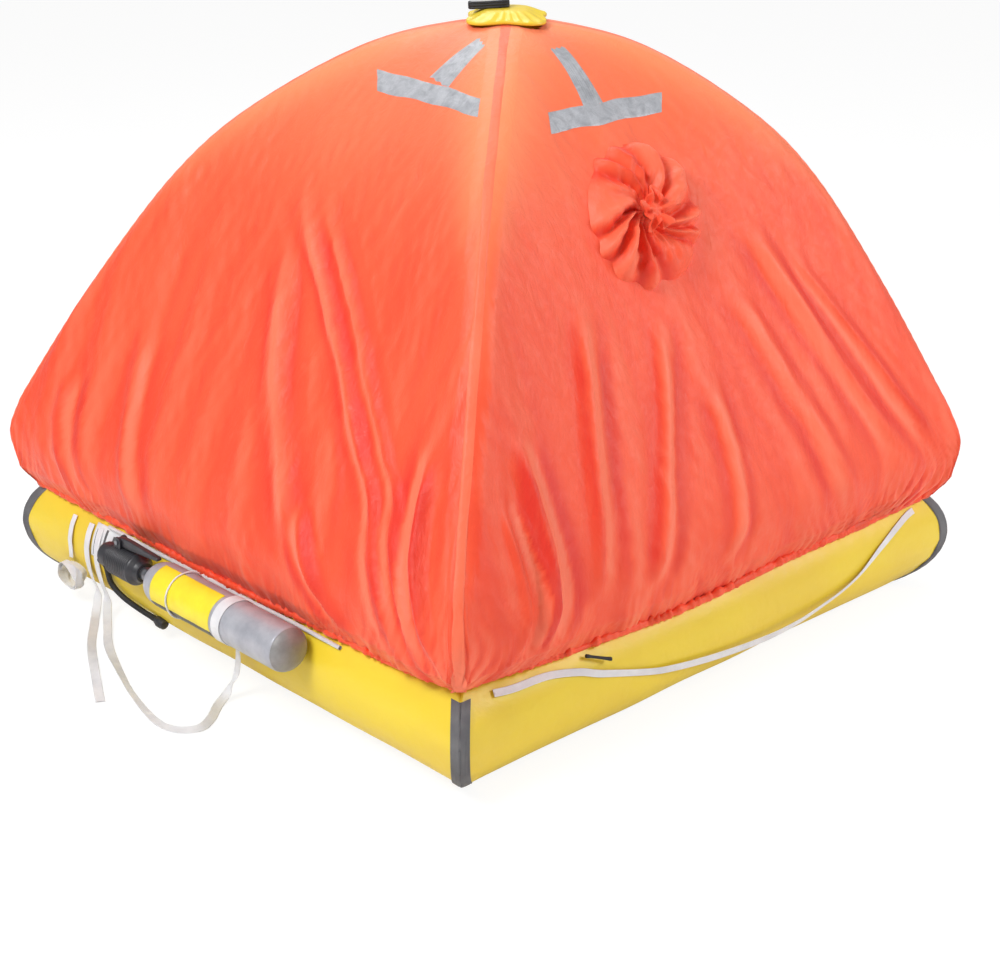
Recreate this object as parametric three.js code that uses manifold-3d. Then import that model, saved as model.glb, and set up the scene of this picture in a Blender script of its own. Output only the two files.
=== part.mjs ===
// Four-person inflatable liferaft, inflated and standing on its floor.
// Two square buoyancy tubes, one on the other, carry a canopy over two crossed arch tubes.
// The gas bottle that fills it is strapped to the outside of the lower tube.
// Millimetres, +Z up. The origin is the middle of the underside of the floor sheet.
import * as THREE from 'three';
import { mergeVertices } from 'three/addons/utils/BufferGeometryUtils.js';
import Module from 'manifold-3d';

const wasm = await Module();
wasm.setup();

// Driving dimensions of the buoyancy tubes
const RAFT_SIDE = 1800;
const LOWER_TUBE_D = 310;
const UPPER_TUBE_D = 238;
const TUBE_FACETS = 24;
const SEAT = 0.3;

// Floor and the ballast pockets that lie folded under it
const FLOOR_T = 3;
const POCKET_SIZE = 250;
const POCKET_T = 6;
const POCKET_PLACE = 430;
const POCKET_RIM = 4;

// Canopy: height of its crown, wall, rounding of its ridges and lean of its crown
const CANOPY_TOP = 1550;
const CANOPY_WALL = 4;
const BULGE_SLACK = 4.5;
const BULGE_DROP = 9.3;
const SKIRT_GAP = 15;
const SKIRT_TUCK = 15;
const RIDGE_ROUND_LOW = 35;
const RIDGE_ROUND = 58;
const FACE_HOLLOW = 32;
const HOLLOW_START = -28;
const FOLD_RELIEF = 6;
const FOLDS_PER_SIDE = 7;
const CROWN_LEAN = new THREE.Vector2(47, -47);
const LEAN_START = -48;
const ROWS_BELOW_BULGE = 3;
const ROWS_OVER_TUBE = 4;
const PANEL_RISES = [0.17, 0.265, 0.38, 0.505, 0.63, 0.743, 0.84, 0.916, 0.969, 0.9973];
const FLAT_COLUMNS = 12;
const ROUND_COLUMNS = 3;

// Crown opening of the canopy and the patch that shows through it
const CROWN_HOLE_R = 108;
const CROWN_LOBE = 14;
const PATCH_GAP = 0.5;
const PATCH_RISE = 18;
const PATCH_DROP = 9;

// Arch tubes
const ARCH_D = 100;
const ARCH_GAP = 6.5;
const ARCH_SIDES = 12;
const ARCH_STEPS = 28;
const ARCH_FOOT_SINK = 18;

// Gathered hem under the canopy
const HEM_T = 6;
const HEM_ANGLE = 44;
const RUFFLE = 7;
const GATHERS_PER_SIDE = 20;

// Ridge tapes, reflective tapes and corner tapes
const TAPE_T = 1.5;
const REFLECTOR_W = 50;
const REFLECTOR_SLOPE = 0.85;
const REFLECTOR_BAR = 390;
const REFLECTOR_START = 150;
const REFLECTOR_REACH = [380, 350, 350, 320];
const CORNER_TAPE_W = 30;
const CORNER_TAPE_LOW = 14;
const CORNER_TAPE_GAP = 18;

// Vent sleeve in the front panel
const VENT_R = 160;
const VENT_RISES = 0.642;
const VENT_PLEATS = 11;
const VENT_RISE = 34;
const VENT_NECK_R = 15;
const TIE_CORD_R = 3;

// Doorway in the rear panel, its rolled flap and the ties that hold it
const DOOR_W = 700;
const DOOR_SILL = 42;
const DOOR_H = 540;
const DOOR_ROUND = 240;
const ROLL_R = 36;
const ROLL_LENGTH = 620;
const ROLL_OVER_DOOR = 85;
const DOOR_TIE_W = 25;
const DOOR_TIE_T = 2;
const DOOR_TIE_PLACE = 210;

// Gas bottle, its head, lever and hose
const BOTTLE_D = 114;
const BOTTLE_ANGLE = 21;
const BOTTLE_END = -385;
const BOTTLE_SHOULDER = 135;
const BOTTLE_NECK = 188;
const DOME_DEPTH = 42;
const NECK_D = 44;
const HEAD_START = 234;
const HEAD_D = 84;
const HEAD_END = 362;
const HEAD_CAP_D = 66;
const HEAD_CAP_END = 412;
const LEVER_PIVOT_Y = 335;
const LEVER_RISE = 56;
const LEVER_LENGTH = 168;
const LEVER_W = 14;
const LEVER_EYE_R = 12;
const PIN_D = 8;
const PIN_GAP = 0.35;
const LUG_T = 6;
const HOSE_D = 16;
const HOSE_SIDES = 8;
const INLET_D = 30;
const LABEL_T = 0.6;
const LABEL_UP = 20;
const STRAP_W = 34;
const STRAP_T = 2;
const STRAP_PLACE = -145;
const BOTTLE_TIE_PLACE = 55;

// Valves on the inside of the tubes
const VALVE_FLANGE_D = 60;
const VALVE_BARREL_D = 40;
const VALVE_H = 12;
const CAP_D = 34;
const CAP_H = 9;
const VALVE_PLACE = 380;

// Lamp on the crown
const LAMP_L = 104;
const LAMP_W = 46;
const LAMP_BASE_H = 17;
const LENS_INSET = 5;
const LENS_H = 19;
const LAMP_OFFSET = new THREE.Vector2(-33, 30);

// Boarding ladder: two straps and their rungs
const LADDER_W = 300;
const LADDER_STRAP_W = 35;
const LADDER_RUNG_W = 38;
const LADDER_RUNGS = 3;
const LADDER_FOOT = 20;

// Patch beside the operating head
const PATCH_W = 104;
const PATCH_H = 80;
const PATCH_Y = 464;
const PATCH_MID = 48;

// Webbing and cords
const WEBBING_D = 12;
const HEM_CORD_D = 11;
const CORD_SIDES = 8;

// Values worked out from the driving dimensions
const LOWER_R = LOWER_TUBE_D / 2;
const UPPER_R = UPPER_TUBE_D / 2;
const LOWER_MID = RAFT_SIDE / 2 - LOWER_R;
const UPPER_MID = RAFT_SIDE / 2 - UPPER_R;
const UPPER_Z = LOWER_TUBE_D + SEAT + UPPER_R;
const UPPER_TOP = UPPER_Z + UPPER_R;
const BULGE_Z = UPPER_Z - BULGE_DROP;
const SKIRT_Z = LOWER_TUBE_D + SKIRT_GAP;
const HOLLOW_START_Z = UPPER_TOP + HOLLOW_START;
const LEAN_START_Z = UPPER_TOP + LEAN_START;
const ARCH_FOOT_Z = UPPER_TOP - ARCH_FOOT_SINK;
const DOOR_SILL_Z = UPPER_TOP + DOOR_SILL;
const DOOR_TOP_Z = DOOR_SILL_Z + DOOR_H;
const ROLL_Z = DOOR_TOP_Z + ROLL_OVER_DOOR;
const VENT_Z = BULGE_Z + VENT_RISES * (CANOPY_TOP - BULGE_Z);
const FACET_ANGLE = Math.PI / TUBE_FACETS;
const CANOPY_HALF = RAFT_SIDE / 2 + BULGE_SLACK + CANOPY_WALL;
const CANOPY_RISE = CANOPY_TOP - BULGE_Z;
const PATCH_T = PATCH_RISE + CANOPY_WALL + ARCH_GAP - SEAT;
const BOTTLE_R = BOTTLE_D / 2;
const DEG = Math.PI / 180;

// The four sides of the raft, each turned about the upright axis from the front one
const SIDES = [
  { name: 'vent', turn: 0 },
  { name: 'far', turn: Math.PI / 2 },
  { name: 'entrance', turn: Math.PI },
  { name: 'bottle', turn: -Math.PI / 2 },
];

const finish = {
  tube: { color: 0xf0d73c, roughness: 0.5 },
  canopy: { color: 0xfa5f3c, roughness: 0.7 },
  floor: { color: 0x2c2c30, roughness: 0.8 },
  tape: { color: 0x5f5f60, roughness: 0.8 },
  reflector: { color: 0xbec3c8, roughness: 0.35 },
  webbing: { color: 0xf0f0f2, roughness: 0.8 },
  metal: { color: 0xb9bbc3, roughness: 0.35, metalness: 0.6 },
  black: { color: 0x3c3c44, roughness: 0.55 },
  label: { color: 0xfaf032, roughness: 0.5 },
  lens: { color: 0xe6ebee, roughness: 0.1 },
};

const raft = new THREE.Group();

/** Adds one named piece with its own material. */
function add(name, geometry, look) {
  const mesh = new THREE.Mesh(geometry, new THREE.MeshStandardMaterial(look));
  mesh.name = name;
  raft.add(mesh);
  return mesh;
}

/** Welds a geometry's corners and drops the triangles that close up to nothing. */
function weld(geometry) {
  const bare = geometry.clone();
  bare.deleteAttribute('normal');
  bare.deleteAttribute('uv');
  const merged = mergeVertices(bare, 1e-3);
  const kept = [];
  const index = merged.index.array;
  for (let i = 0; i < index.length; i += 3) {
    const [a, b, c] = [index[i], index[i + 1], index[i + 2]];
    if (a !== b && b !== c && c !== a) kept.push(a, b, c);
  }
  merged.setIndex(kept);
  return merged;
}

/** Six times the volume of a closed geometry, positive where its faces point out. */
function signedVolume(geometry) {
  const p = geometry.attributes.position;
  const index = geometry.index.array;
  const [a, b, c] = [new THREE.Vector3(), new THREE.Vector3(), new THREE.Vector3()];
  let sum = 0;
  for (let i = 0; i < index.length; i += 3) {
    a.fromBufferAttribute(p, index[i]);
    b.fromBufferAttribute(p, index[i + 1]);
    c.fromBufferAttribute(p, index[i + 2]);
    sum += a.dot(b.cross(c));
  }
  return sum;
}

/** Turns a closed geometry's faces outwards. */
function faceOut(geometry) {
  if (signedVolume(geometry) < 0) {
    const index = geometry.index.array;
    for (let i = 0; i < index.length; i += 3) {
      [index[i], index[i + 1]] = [index[i + 1], index[i]];
    }
  }
  return geometry;
}

/** Makes a boolean solid of a closed geometry. */
function solid(geometry) {
  const g = faceOut(weld(geometry));
  return new wasm.Manifold(new wasm.Mesh({
    numProp: 3,
    vertProperties: Float32Array.from(g.attributes.position.array),
    triVerts: Uint32Array.from(g.index.array),
  }));
}

/** Makes a geometry of a boolean solid. */
function shape(body) {
  const mesh = body.getMesh();
  const geometry = new THREE.BufferGeometry();
  geometry.setAttribute('position', new THREE.BufferAttribute(mesh.vertProperties, 3));
  geometry.setIndex(new THREE.BufferAttribute(mesh.triVerts, 1));
  geometry.computeVertexNormals();
  return geometry;
}

/** A geometry from corner points and triangles of point numbers. */
function fromTriangles(points, triangles) {
  const geometry = new THREE.BufferGeometry().setFromPoints(points);
  geometry.setIndex(triangles);
  faceOut(geometry);
  geometry.computeVertexNormals();
  return geometry;
}

/** Closed wall between two grids of points with the same rows and columns. */
function wallBetween(outer, inner) {
  const rows = outer.length;
  const columns = outer[0].length;
  const points = [...outer.flat(), ...inner.flat()];
  const layer = rows * columns;
  const at = (i, j, side) => side * layer + i * columns + j;
  const triangles = [];
  const quad = (a, b, c, d) => triangles.push(a, b, c, a, c, d);
  for (let i = 0; i < rows - 1; i++) {
    for (let j = 0; j < columns - 1; j++) {
      quad(at(i, j, 0), at(i, j + 1, 0), at(i + 1, j + 1, 0), at(i + 1, j, 0));
      quad(at(i, j, 1), at(i + 1, j, 1), at(i + 1, j + 1, 1), at(i, j + 1, 1));
    }
  }
  for (let j = 0; j < columns - 1; j++) {
    quad(at(0, j + 1, 0), at(0, j, 0), at(0, j, 1), at(0, j + 1, 1));
    quad(at(rows - 1, j, 0), at(rows - 1, j + 1, 0), at(rows - 1, j + 1, 1), at(rows - 1, j, 1));
  }
  for (let i = 0; i < rows - 1; i++) {
    quad(at(i, 0, 0), at(i + 1, 0, 0), at(i + 1, 0, 1), at(i, 0, 1));
    quad(at(i + 1, columns - 1, 0), at(i, columns - 1, 0), at(i, columns - 1, 1), at(i + 1, columns - 1, 1));
  }
  return fromTriangles(points, triangles);
}

/** Closed ring through sections that each hold the same number of points. */
function ringThrough(sections) {
  const n = sections.length;
  const m = sections[0].length;
  const triangles = [];
  for (let i = 0; i < n; i++) {
    for (let j = 0; j < m; j++) {
      const a = i * m + j;
      const b = i * m + ((j + 1) % m);
      const c = ((i + 1) % n) * m + ((j + 1) % m);
      const d = ((i + 1) % n) * m + j;
      triangles.push(a, b, c, a, c, d);
    }
  }
  return fromTriangles(sections.flat(), triangles);
}

/** Box with its middle at a place. */
function box(x, y, z, width, depth, height) {
  return new THREE.BoxGeometry(width, depth, height).translate(x, y, z);
}

/** Turns a lathe, which three.js makes about Y, so that it stands on Z. */
function upright(geometry) {
  return geometry.rotateX(Math.PI / 2);
}

/** Round tube along a curve through points, with flat ends. */
function tubeAlong(points, diameter, steps, sides) {
  const section = new THREE.Shape();
  for (let i = 0; i < sides; i++) {
    const a = (2 * Math.PI * (i + 0.5)) / sides;
    const [x, y] = [Math.cos(a) * diameter / 2, Math.sin(a) * diameter / 2];
    if (i === 0) section.moveTo(x, y);
    else section.lineTo(x, y);
  }
  const path = new THREE.CatmullRomCurve3(points, false, 'centripetal');
  return new THREE.ExtrudeGeometry(section, { steps, bevelEnabled: false, extrudePath: path });
}

/** Square ring of round section with its foot flat: a lathe of four sides. */
function squareTube(middle, radius, z) {
  const profile = [];
  for (let i = 0; i <= TUBE_FACETS; i++) {
    const a = (2 * i + 1) * FACET_ANGLE;
    const reach = radius / Math.cos(FACET_ANGLE);
    profile.push(new THREE.Vector2(
      Math.SQRT2 * (middle + reach * Math.sin(a)),
      z - reach * Math.cos(a),
    ));
  }
  return upright(new THREE.LatheGeometry(profile, 4, Math.PI / 4));
}

/** Point on a side: along it, out from the middle and up. */
function onSide(side, along, out, z) {
  const { turn } = SIDES[side];
  return new THREE.Vector3(
    along * Math.cos(turn) + out * Math.sin(turn),
    along * Math.sin(turn) - out * Math.cos(turn),
    z,
  );
}

/** Point beside the lower tube, at an angle above its middle and a distance from it. */
function besideTube(side, along, angle, distance) {
  const a = angle * DEG;
  return onSide(side, along, LOWER_MID + distance * Math.cos(a), LOWER_R + distance * Math.sin(a));
}

// Section of the canopy along a ridge: half the square's side against height
const canopySection = new THREE.SplineCurve([
  new THREE.Vector2(CANOPY_HALF - SKIRT_TUCK, SKIRT_Z),
  new THREE.Vector2(CANOPY_HALF, BULGE_Z),
  ...[[0.979, 0.07], [0.944, 0.14], [0.81, 0.38], [0.641, 0.64], [0.482, 0.8], [0.246, 0.945], [0, 1]].map(
    ([side, rise]) => new THREE.Vector2(side * CANOPY_HALF, BULGE_Z + rise * CANOPY_RISE),
  ),
]);

/** Share of the section's length at which it reaches a height. */
function shareAtHeight(z) {
  let [low, high] = [0, 1];
  for (let i = 0; i < 30; i++) {
    const middle = (low + high) / 2;
    if (canopySection.getPointAt(middle).y < z) low = middle;
    else high = middle;
  }
  return low;
}

// Heights of the panels' rows: close over the tube's bulge, wider up the face
const panelHeights = [
  ...Array.from({ length: ROWS_BELOW_BULGE }, (_, i) => (
    SKIRT_Z + ((BULGE_Z - SKIRT_Z) * i) / ROWS_BELOW_BULGE
  )),
  ...Array.from({ length: ROWS_OVER_TUBE }, (_, i) => (
    BULGE_Z + ((UPPER_TOP - BULGE_Z) * i) / (ROWS_OVER_TUBE - 0.5)
  )),
  ...PANEL_RISES.map((rise) => BULGE_Z + rise * CANOPY_RISE),
];
const panelShares = panelHeights.map(shareAtHeight);

/** How far the canopy has leaned at a height. */
function leanAt(z) {
  const share = Math.max(0, (z - LEAN_START_Z) / (CANOPY_TOP - LEAN_START_Z));
  return CROWN_LEAN.clone().multiplyScalar(share ** 1.3);
}

/** Radius of the rounded ridge where half the side is known. */
function ridgeRound(half, z) {
  const share = THREE.MathUtils.smoothstep(z, BULGE_Z, DOOR_SILL_Z);
  const round = RIDGE_ROUND_LOW + (RIDGE_ROUND - RIDGE_ROUND_LOW) * share;
  return Math.min(round, half * 0.6);
}

/** How far a face lies inside the straight line between its ridges. */
function hollowAt(z, round) {
  const share = THREE.MathUtils.clamp((z - HOLLOW_START_Z) / (CANOPY_TOP - HOLLOW_START_Z), 0, 1);
  return round * (1 - Math.SQRT1_2) + FACE_HOLLOW * Math.sin(Math.PI * share) ** 1.5;
}

/** Outward relief of the tension folds that run down into the hem. */
function foldAt(side, across, z) {
  const fade = 1 - THREE.MathUtils.smoothstep(z, BULGE_Z, BULGE_Z + 0.55 * CANOPY_RISE);
  const phase = side * 1.3 + (z - BULGE_Z) / 500;
  return FOLD_RELIEF * fade * (0.5 - 0.5 * Math.cos(Math.PI * (FOLDS_PER_SIDE * across + phase)));
}

/** Plan of one side with rounded ends: across runs from -1 to 1 between the ridges. */
function planPoint(half, round, hollow, across) {
  const flat = FLAT_COLUMNS / (FLAT_COLUMNS + 2 * ROUND_COLUMNS);
  const middle = half + round * (1 - Math.SQRT1_2);
  const size = Math.abs(across);
  if (size <= flat) {
    const share = across / flat;
    return { along: share * (middle - round), out: middle - hollow * (1 - share * share) };
  }
  const a = ((size - flat) / (1 - flat)) * (Math.PI / 4);
  return {
    along: Math.sign(across) * (middle - round + round * Math.sin(a)),
    out: middle - round + round * Math.cos(a),
  };
}

/** Point of the canopy's outer surface. */
function skinPoint(side, across, share) {
  const at = canopySection.getPointAt(THREE.MathUtils.clamp(share, 0, 1));
  const round = ridgeRound(at.x, at.y);
  const plan = planPoint(at.x, round, hollowAt(at.y, round), across);
  const lean = leanAt(at.y);
  const fold = foldAt(side, across, at.y) * (1 - across ** 8);
  const p = onSide(side, plan.along, plan.out + fold, at.y);
  return p.add(new THREE.Vector3(lean.x, lean.y, 0));
}

/** Outward direction of the canopy's surface. */
function skinNormal(side, across, share) {
  const step = 1e-3;
  const [left, right] = [Math.max(-1, across - step), Math.min(1, across + step)];
  const [low, high] = [Math.max(0, share - step), Math.min(1, share + step)];
  const du = skinPoint(side, right, share).sub(skinPoint(side, left, share));
  const dv = skinPoint(side, across, high).sub(skinPoint(side, across, low));
  return du.cross(dv).normalize();
}

/** Part of the canopy between two offsets from its outer surface, on one side. */
function canopyLayer(side, from, to, edge) {
  const columns = FLAT_COLUMNS + 2 * ROUND_COLUMNS;
  const away = onSide(side, 0, 1, 0);
  const tangent = onSide(side, 1, 0, 0);
  const layer = (offset) => {
    const rows = [];
    for (const share of panelShares) {
      const row = [];
      for (let j = 0; j <= columns; j++) {
        const across = (2 * j) / columns - 1;
        const p = skinPoint(side, across, share).addScaledVector(skinNormal(side, across, share), offset);
        if (j === 0 || j === columns) {
          p.addScaledVector(away, edge * Math.SQRT1_2);
          p.addScaledVector(tangent, -Math.sign(across) * edge * Math.SQRT1_2);
        }
        row.push(p);
      }
      rows.push(row);
    }
    return rows;
  };
  return solid(wallBetween(layer(to), layer(from)));
}

/** Outline with four lobes for the crown's opening and its patch. */
function lobedOutline(shrink) {
  const outline = new THREE.Shape();
  const steps = 32;
  for (let i = 0; i < steps; i++) {
    const a = (2 * Math.PI * i) / steps;
    const r = CROWN_HOLE_R - shrink + CROWN_LOBE * Math.cos(4 * a);
    if (i === 0) outline.moveTo(r, 0);
    else outline.lineTo(r * Math.cos(a), r * Math.sin(a));
  }
  return outline;
}

/** Upright prism of an outline between two heights, at the leaned crown. */
function crownPrism(outline, low, high) {
  const prism = new THREE.ExtrudeGeometry(outline, { depth: high - low, bevelEnabled: false });
  return solid(prism.translate(CROWN_LEAN.x, CROWN_LEAN.y, low));
}

/** Cylinder through the front panel where the vent sleeve is sewn in, and its frame. */
function ventFrame() {
  const share = shareAtHeight(VENT_Z);
  const across = -leanAt(VENT_Z).x / canopySection.getPointAt(share).x;
  const middle = skinPoint(0, across, share);
  const out = skinNormal(0, across, share);
  const along = new THREE.Vector3(1, 0, 0);
  const up = out.clone().cross(along).normalize();
  return { across, share, middle, out, along, up };
}

/** Height of the front panel over the vent's middle plane at a place beside its axis. */
function panelRise(frame, a, b) {
  const du = skinPoint(0, frame.across + 0.01, frame.share).distanceTo(frame.middle) / 0.01;
  const dv = skinPoint(0, frame.across, frame.share + 0.01).distanceTo(frame.middle) / 0.01;
  let [across, share] = [frame.across + a / du, frame.share + b / dv];
  for (let i = 0; i < 6; i++) {
    const p = skinPoint(0, across, share).sub(frame.middle);
    across += (a - p.dot(frame.along)) / du;
    share += (b - p.dot(frame.up)) / dv;
  }
  return skinPoint(0, across, share).sub(frame.middle).dot(frame.out);
}

/** The square tubes that carry the raft. */
function buildTubes() {
  add('lower_buoyancy_tube', squareTube(LOWER_MID, LOWER_R, LOWER_R), finish.tube);
  add('upper_buoyancy_tube', squareTube(UPPER_MID, UPPER_R, UPPER_Z), finish.tube);
}

/** Floor sheet with raised trays over the folded ballast pockets. */
function buildFloor() {
  const slope = Math.tan(2 * FACET_ANGLE);
  const foot = LOWER_R * Math.tan(FACET_ANGLE);
  const half = LOWER_MID - foot - (FLOOR_T + SEAT * 2) / slope;
  let sheet = solid(box(0, 0, FLOOR_T / 2, 2 * half, 2 * half, FLOOR_T));
  const recess = POCKET_SIZE + 2 * SEAT;
  const raised = recess + 2 * POCKET_RIM;
  const top = POCKET_T + SEAT + FLOOR_T;
  const places = [[-1, -1], [1, -1], [1, 1], [-1, 1]];
  for (const [sx, sy] of places) {
    const [x, y] = [sx * POCKET_PLACE, sy * POCKET_PLACE];
    sheet = sheet.add(solid(box(x, y, top / 2, raised, raised, top)));
  }
  places.forEach(([sx, sy], i) => {
    const [x, y] = [sx * POCKET_PLACE, sy * POCKET_PLACE];
    sheet = sheet.subtract(solid(box(x, y, 0, recess, recess, 2 * (POCKET_T + SEAT))));
    const pocket = box(x, y, POCKET_T / 2, POCKET_SIZE, POCKET_SIZE, POCKET_T);
    add(`ballast_pocket_${i + 1}`, pocket, finish.floor);
  });
  add('floor_sheet', shape(sheet), finish.floor);
}

/** Opening of the doorway as a prism through the rear panel. */
function doorwayPrism(margin) {
  const half = DOOR_W / 2 + margin;
  const top = DOOR_TOP_Z + margin;
  const outline = new THREE.Shape();
  outline.moveTo(-half, DOOR_SILL_Z - margin);
  outline.lineTo(half, DOOR_SILL_Z - margin);
  outline.lineTo(half, top - DOOR_ROUND);
  outline.quadraticCurveTo(half, top, half - DOOR_ROUND, top);
  outline.lineTo(-half + DOOR_ROUND, top);
  outline.quadraticCurveTo(-half, top, -half, top - DOOR_ROUND);
  const depth = RAFT_SIDE;
  const prism = new THREE.ExtrudeGeometry(outline, { depth, bevelEnabled: false, curveSegments: 6 });
  return solid(prism.rotateX(Math.PI / 2).translate(0, depth, 0));
}

/** The four canopy panels, sewn together along the ridges. */
function buildPanels() {
  const hole = crownPrism(lobedOutline(0), CANOPY_TOP - 200, CANOPY_TOP + 50);
  const frame = ventFrame();
  const drill = new THREE.CylinderGeometry(VENT_R, VENT_R, 160, 40);
  drill.applyMatrix4(new THREE.Matrix4().makeBasis(frame.along, frame.out, frame.up.clone().negate()));
  drill.translate(frame.middle.x, frame.middle.y, frame.middle.z);
  SIDES.forEach(({ name }, side) => {
    let panel = canopyLayer(side, -CANOPY_WALL, 0, SEAT / 2).subtract(hole);
    if (name === 'vent') panel = panel.subtract(solid(drill));
    if (name === 'entrance') panel = panel.subtract(doorwayPrism(0));
    add(`canopy_panel_${name}`, shape(panel), finish.canopy);
  });
}

/** Narrow tapes that cover the seams along the ridges, one column of the panel to each side. */
function buildRidgeTapes() {
  const hole = crownPrism(lobedOutline(-SEAT), CANOPY_TOP - 200, CANOPY_TOP + 50);
  const column = 2 / (FLAT_COLUMNS + 2 * ROUND_COLUMNS);
  SIDES.forEach((_, side) => {
    const next = (side + 1) % SIDES.length;
    const ends = [[side, 1 - column], [side, 1], [next, column - 1]];
    const layer = (offset) => panelShares.map((share) => ends.map(([s, across]) => (
      skinPoint(s, across, share).addScaledVector(skinNormal(s, across, share), offset)
    )));
    const tape = solid(wallBetween(layer(2 * SEAT + TAPE_T), layer(2 * SEAT))).subtract(hole);
    add(`ridge_tape_${side + 1}`, shape(tape), finish.canopy);
  });
}

/** Reflective tapes: a stem down from the crown and a bar across its foot, on each panel. */
function buildReflectors() {
  SIDES.forEach(({ name }, side) => {
    const reach = REFLECTOR_REACH[side];
    const middle = -(REFLECTOR_START + reach) / 2;
    const flat = REFLECTOR_W * REFLECTOR_SLOPE;
    const stem = box(0, middle, CANOPY_TOP, REFLECTOR_W, reach - REFLECTOR_START, CANOPY_RISE);
    const bar = box(0, -reach, CANOPY_TOP, REFLECTOR_BAR, flat, CANOPY_RISE);
    const plan = solid(stem).add(solid(bar));
    const lean = leanAt(CANOPY_TOP - 160);
    const turned = plan.rotate([0, 0, SIDES[side].turn / DEG]).translate([lean.x, lean.y, 0]);
    const tape = canopyLayer(side, SEAT, SEAT + TAPE_T, 0).intersect(turned);
    add(`reflector_${name}`, shape(tape), finish.reflector);
  });
}

/** Gathered hem that grips the shoulder of the lower tube. */
function buildHem() {
  const edge = canopySection.getPointAt(0);
  const a = HEM_ANGLE * DEG;
  const low = LOWER_R / Math.cos(FACET_ANGLE) + SEAT + HEM_T / 2;
  const foot = new THREE.Vector2(LOWER_MID + low * Math.cos(a), LOWER_R + low * Math.sin(a));
  const top = new THREE.Vector2(edge.x - HEM_T / 2, edge.y - SEAT);
  const columns = 2 * GATHERS_PER_SIDE;
  const sections = [];
  SIDES.forEach((_, side) => {
    for (let j = 0; j < columns; j++) {
      const across = (2 * j) / columns - 1;
      const ruffle = RUFFLE * (j % 2);
      const ring = (level, out, up) => {
        const half = top.x + (foot.x - top.x) * level + out;
        const z = top.y + (foot.y - top.y) * level + up;
        const round = RIDGE_ROUND_LOW;
        const plan = planPoint(half, round, round * (1 - Math.SQRT1_2), across);
        return onSide(side, plan.along, plan.out, z);
      };
      sections.push([
        ring(0, HEM_T / 2, 0),
        ring(0.55, HEM_T / 2 + ruffle, -ruffle / 2),
        ring(1, HEM_T / 2 + ruffle * 0.4, 0),
        ring(1, -HEM_T / 2, 0),
        ring(0, -HEM_T / 2, 0),
      ]);
    }
  });
  add('canopy_hem', ringThrough(sections), finish.canopy);
}

/** Middle line of one arch from corner to corner through the crown. */
function archLine(diagonal) {
  const depth = CANOPY_WALL + ARCH_GAP + ARCH_D / 2;
  const half = [];
  for (let i = 0; i <= ARCH_STEPS / 2; i++) {
    const start = shareAtHeight(ARCH_FOOT_Z);
    const share = start + ((1 - start) * i) / (ARCH_STEPS / 2);
    const at = canopySection.getPointAt(share);
    const tangent = canopySection.getTangentAt(share);
    // Along the diagonal the section is stretched by the square root of two.
    const along = new THREE.Vector2(tangent.x * Math.SQRT2, tangent.y).normalize();
    const inward = i === ARCH_STEPS / 2 ? new THREE.Vector2(0, -1) : new THREE.Vector2(-along.y, along.x);
    const reach = at.x * Math.SQRT2 + inward.x * depth;
    half.push({ reach, z: at.y + inward.y * depth, lean: leanAt(at.y) });
  }
  const point = ({ reach, z, lean }, sign) => new THREE.Vector3(
    sign * reach * Math.cos(diagonal) + lean.x,
    sign * reach * Math.sin(diagonal) + lean.y,
    z,
  );
  const first = half.map((p) => point(p, -1));
  const second = half.slice(0, -1).reverse().map((p) => point(p, 1));
  return [...first, ...second];
}

/** The crossed arch tubes, welded where they meet, standing on the upper tube. */
function archSolid() {
  const arches = [Math.PI / 4, -Math.PI / 4].map((diagonal) => {
    const points = archLine(diagonal);
    return solid(tubeAlong(points, ARCH_D, ARCH_STEPS, ARCH_SIDES));
  });
  const bed = solid(squareTube(UPPER_MID, UPPER_R + SEAT, UPPER_Z));
  return arches[0].add(arches[1]).subtract(bed);
}

/** Domed patch over the crossing of the arches, seen through the crown's opening. */
function patchDome() {
  const reach = CROWN_HOLE_R + CROWN_LOBE;
  const profile = [];
  const steps = 4;
  const top = CANOPY_TOP + PATCH_RISE;
  for (let i = 0; i <= steps; i++) {
    const r = (reach * i) / steps;
    profile.push(new THREE.Vector2(r, top - PATCH_T - PATCH_DROP * (i / steps) ** 2));
  }
  for (let i = steps; i >= 0; i--) {
    const r = (reach * i) / steps;
    profile.push(new THREE.Vector2(r, top - PATCH_DROP * (i / steps) ** 2));
  }
  const dome = upright(new THREE.LatheGeometry(profile, 24));
  return solid(dome.translate(CROWN_LEAN.x, CROWN_LEAN.y, 0));
}

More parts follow.
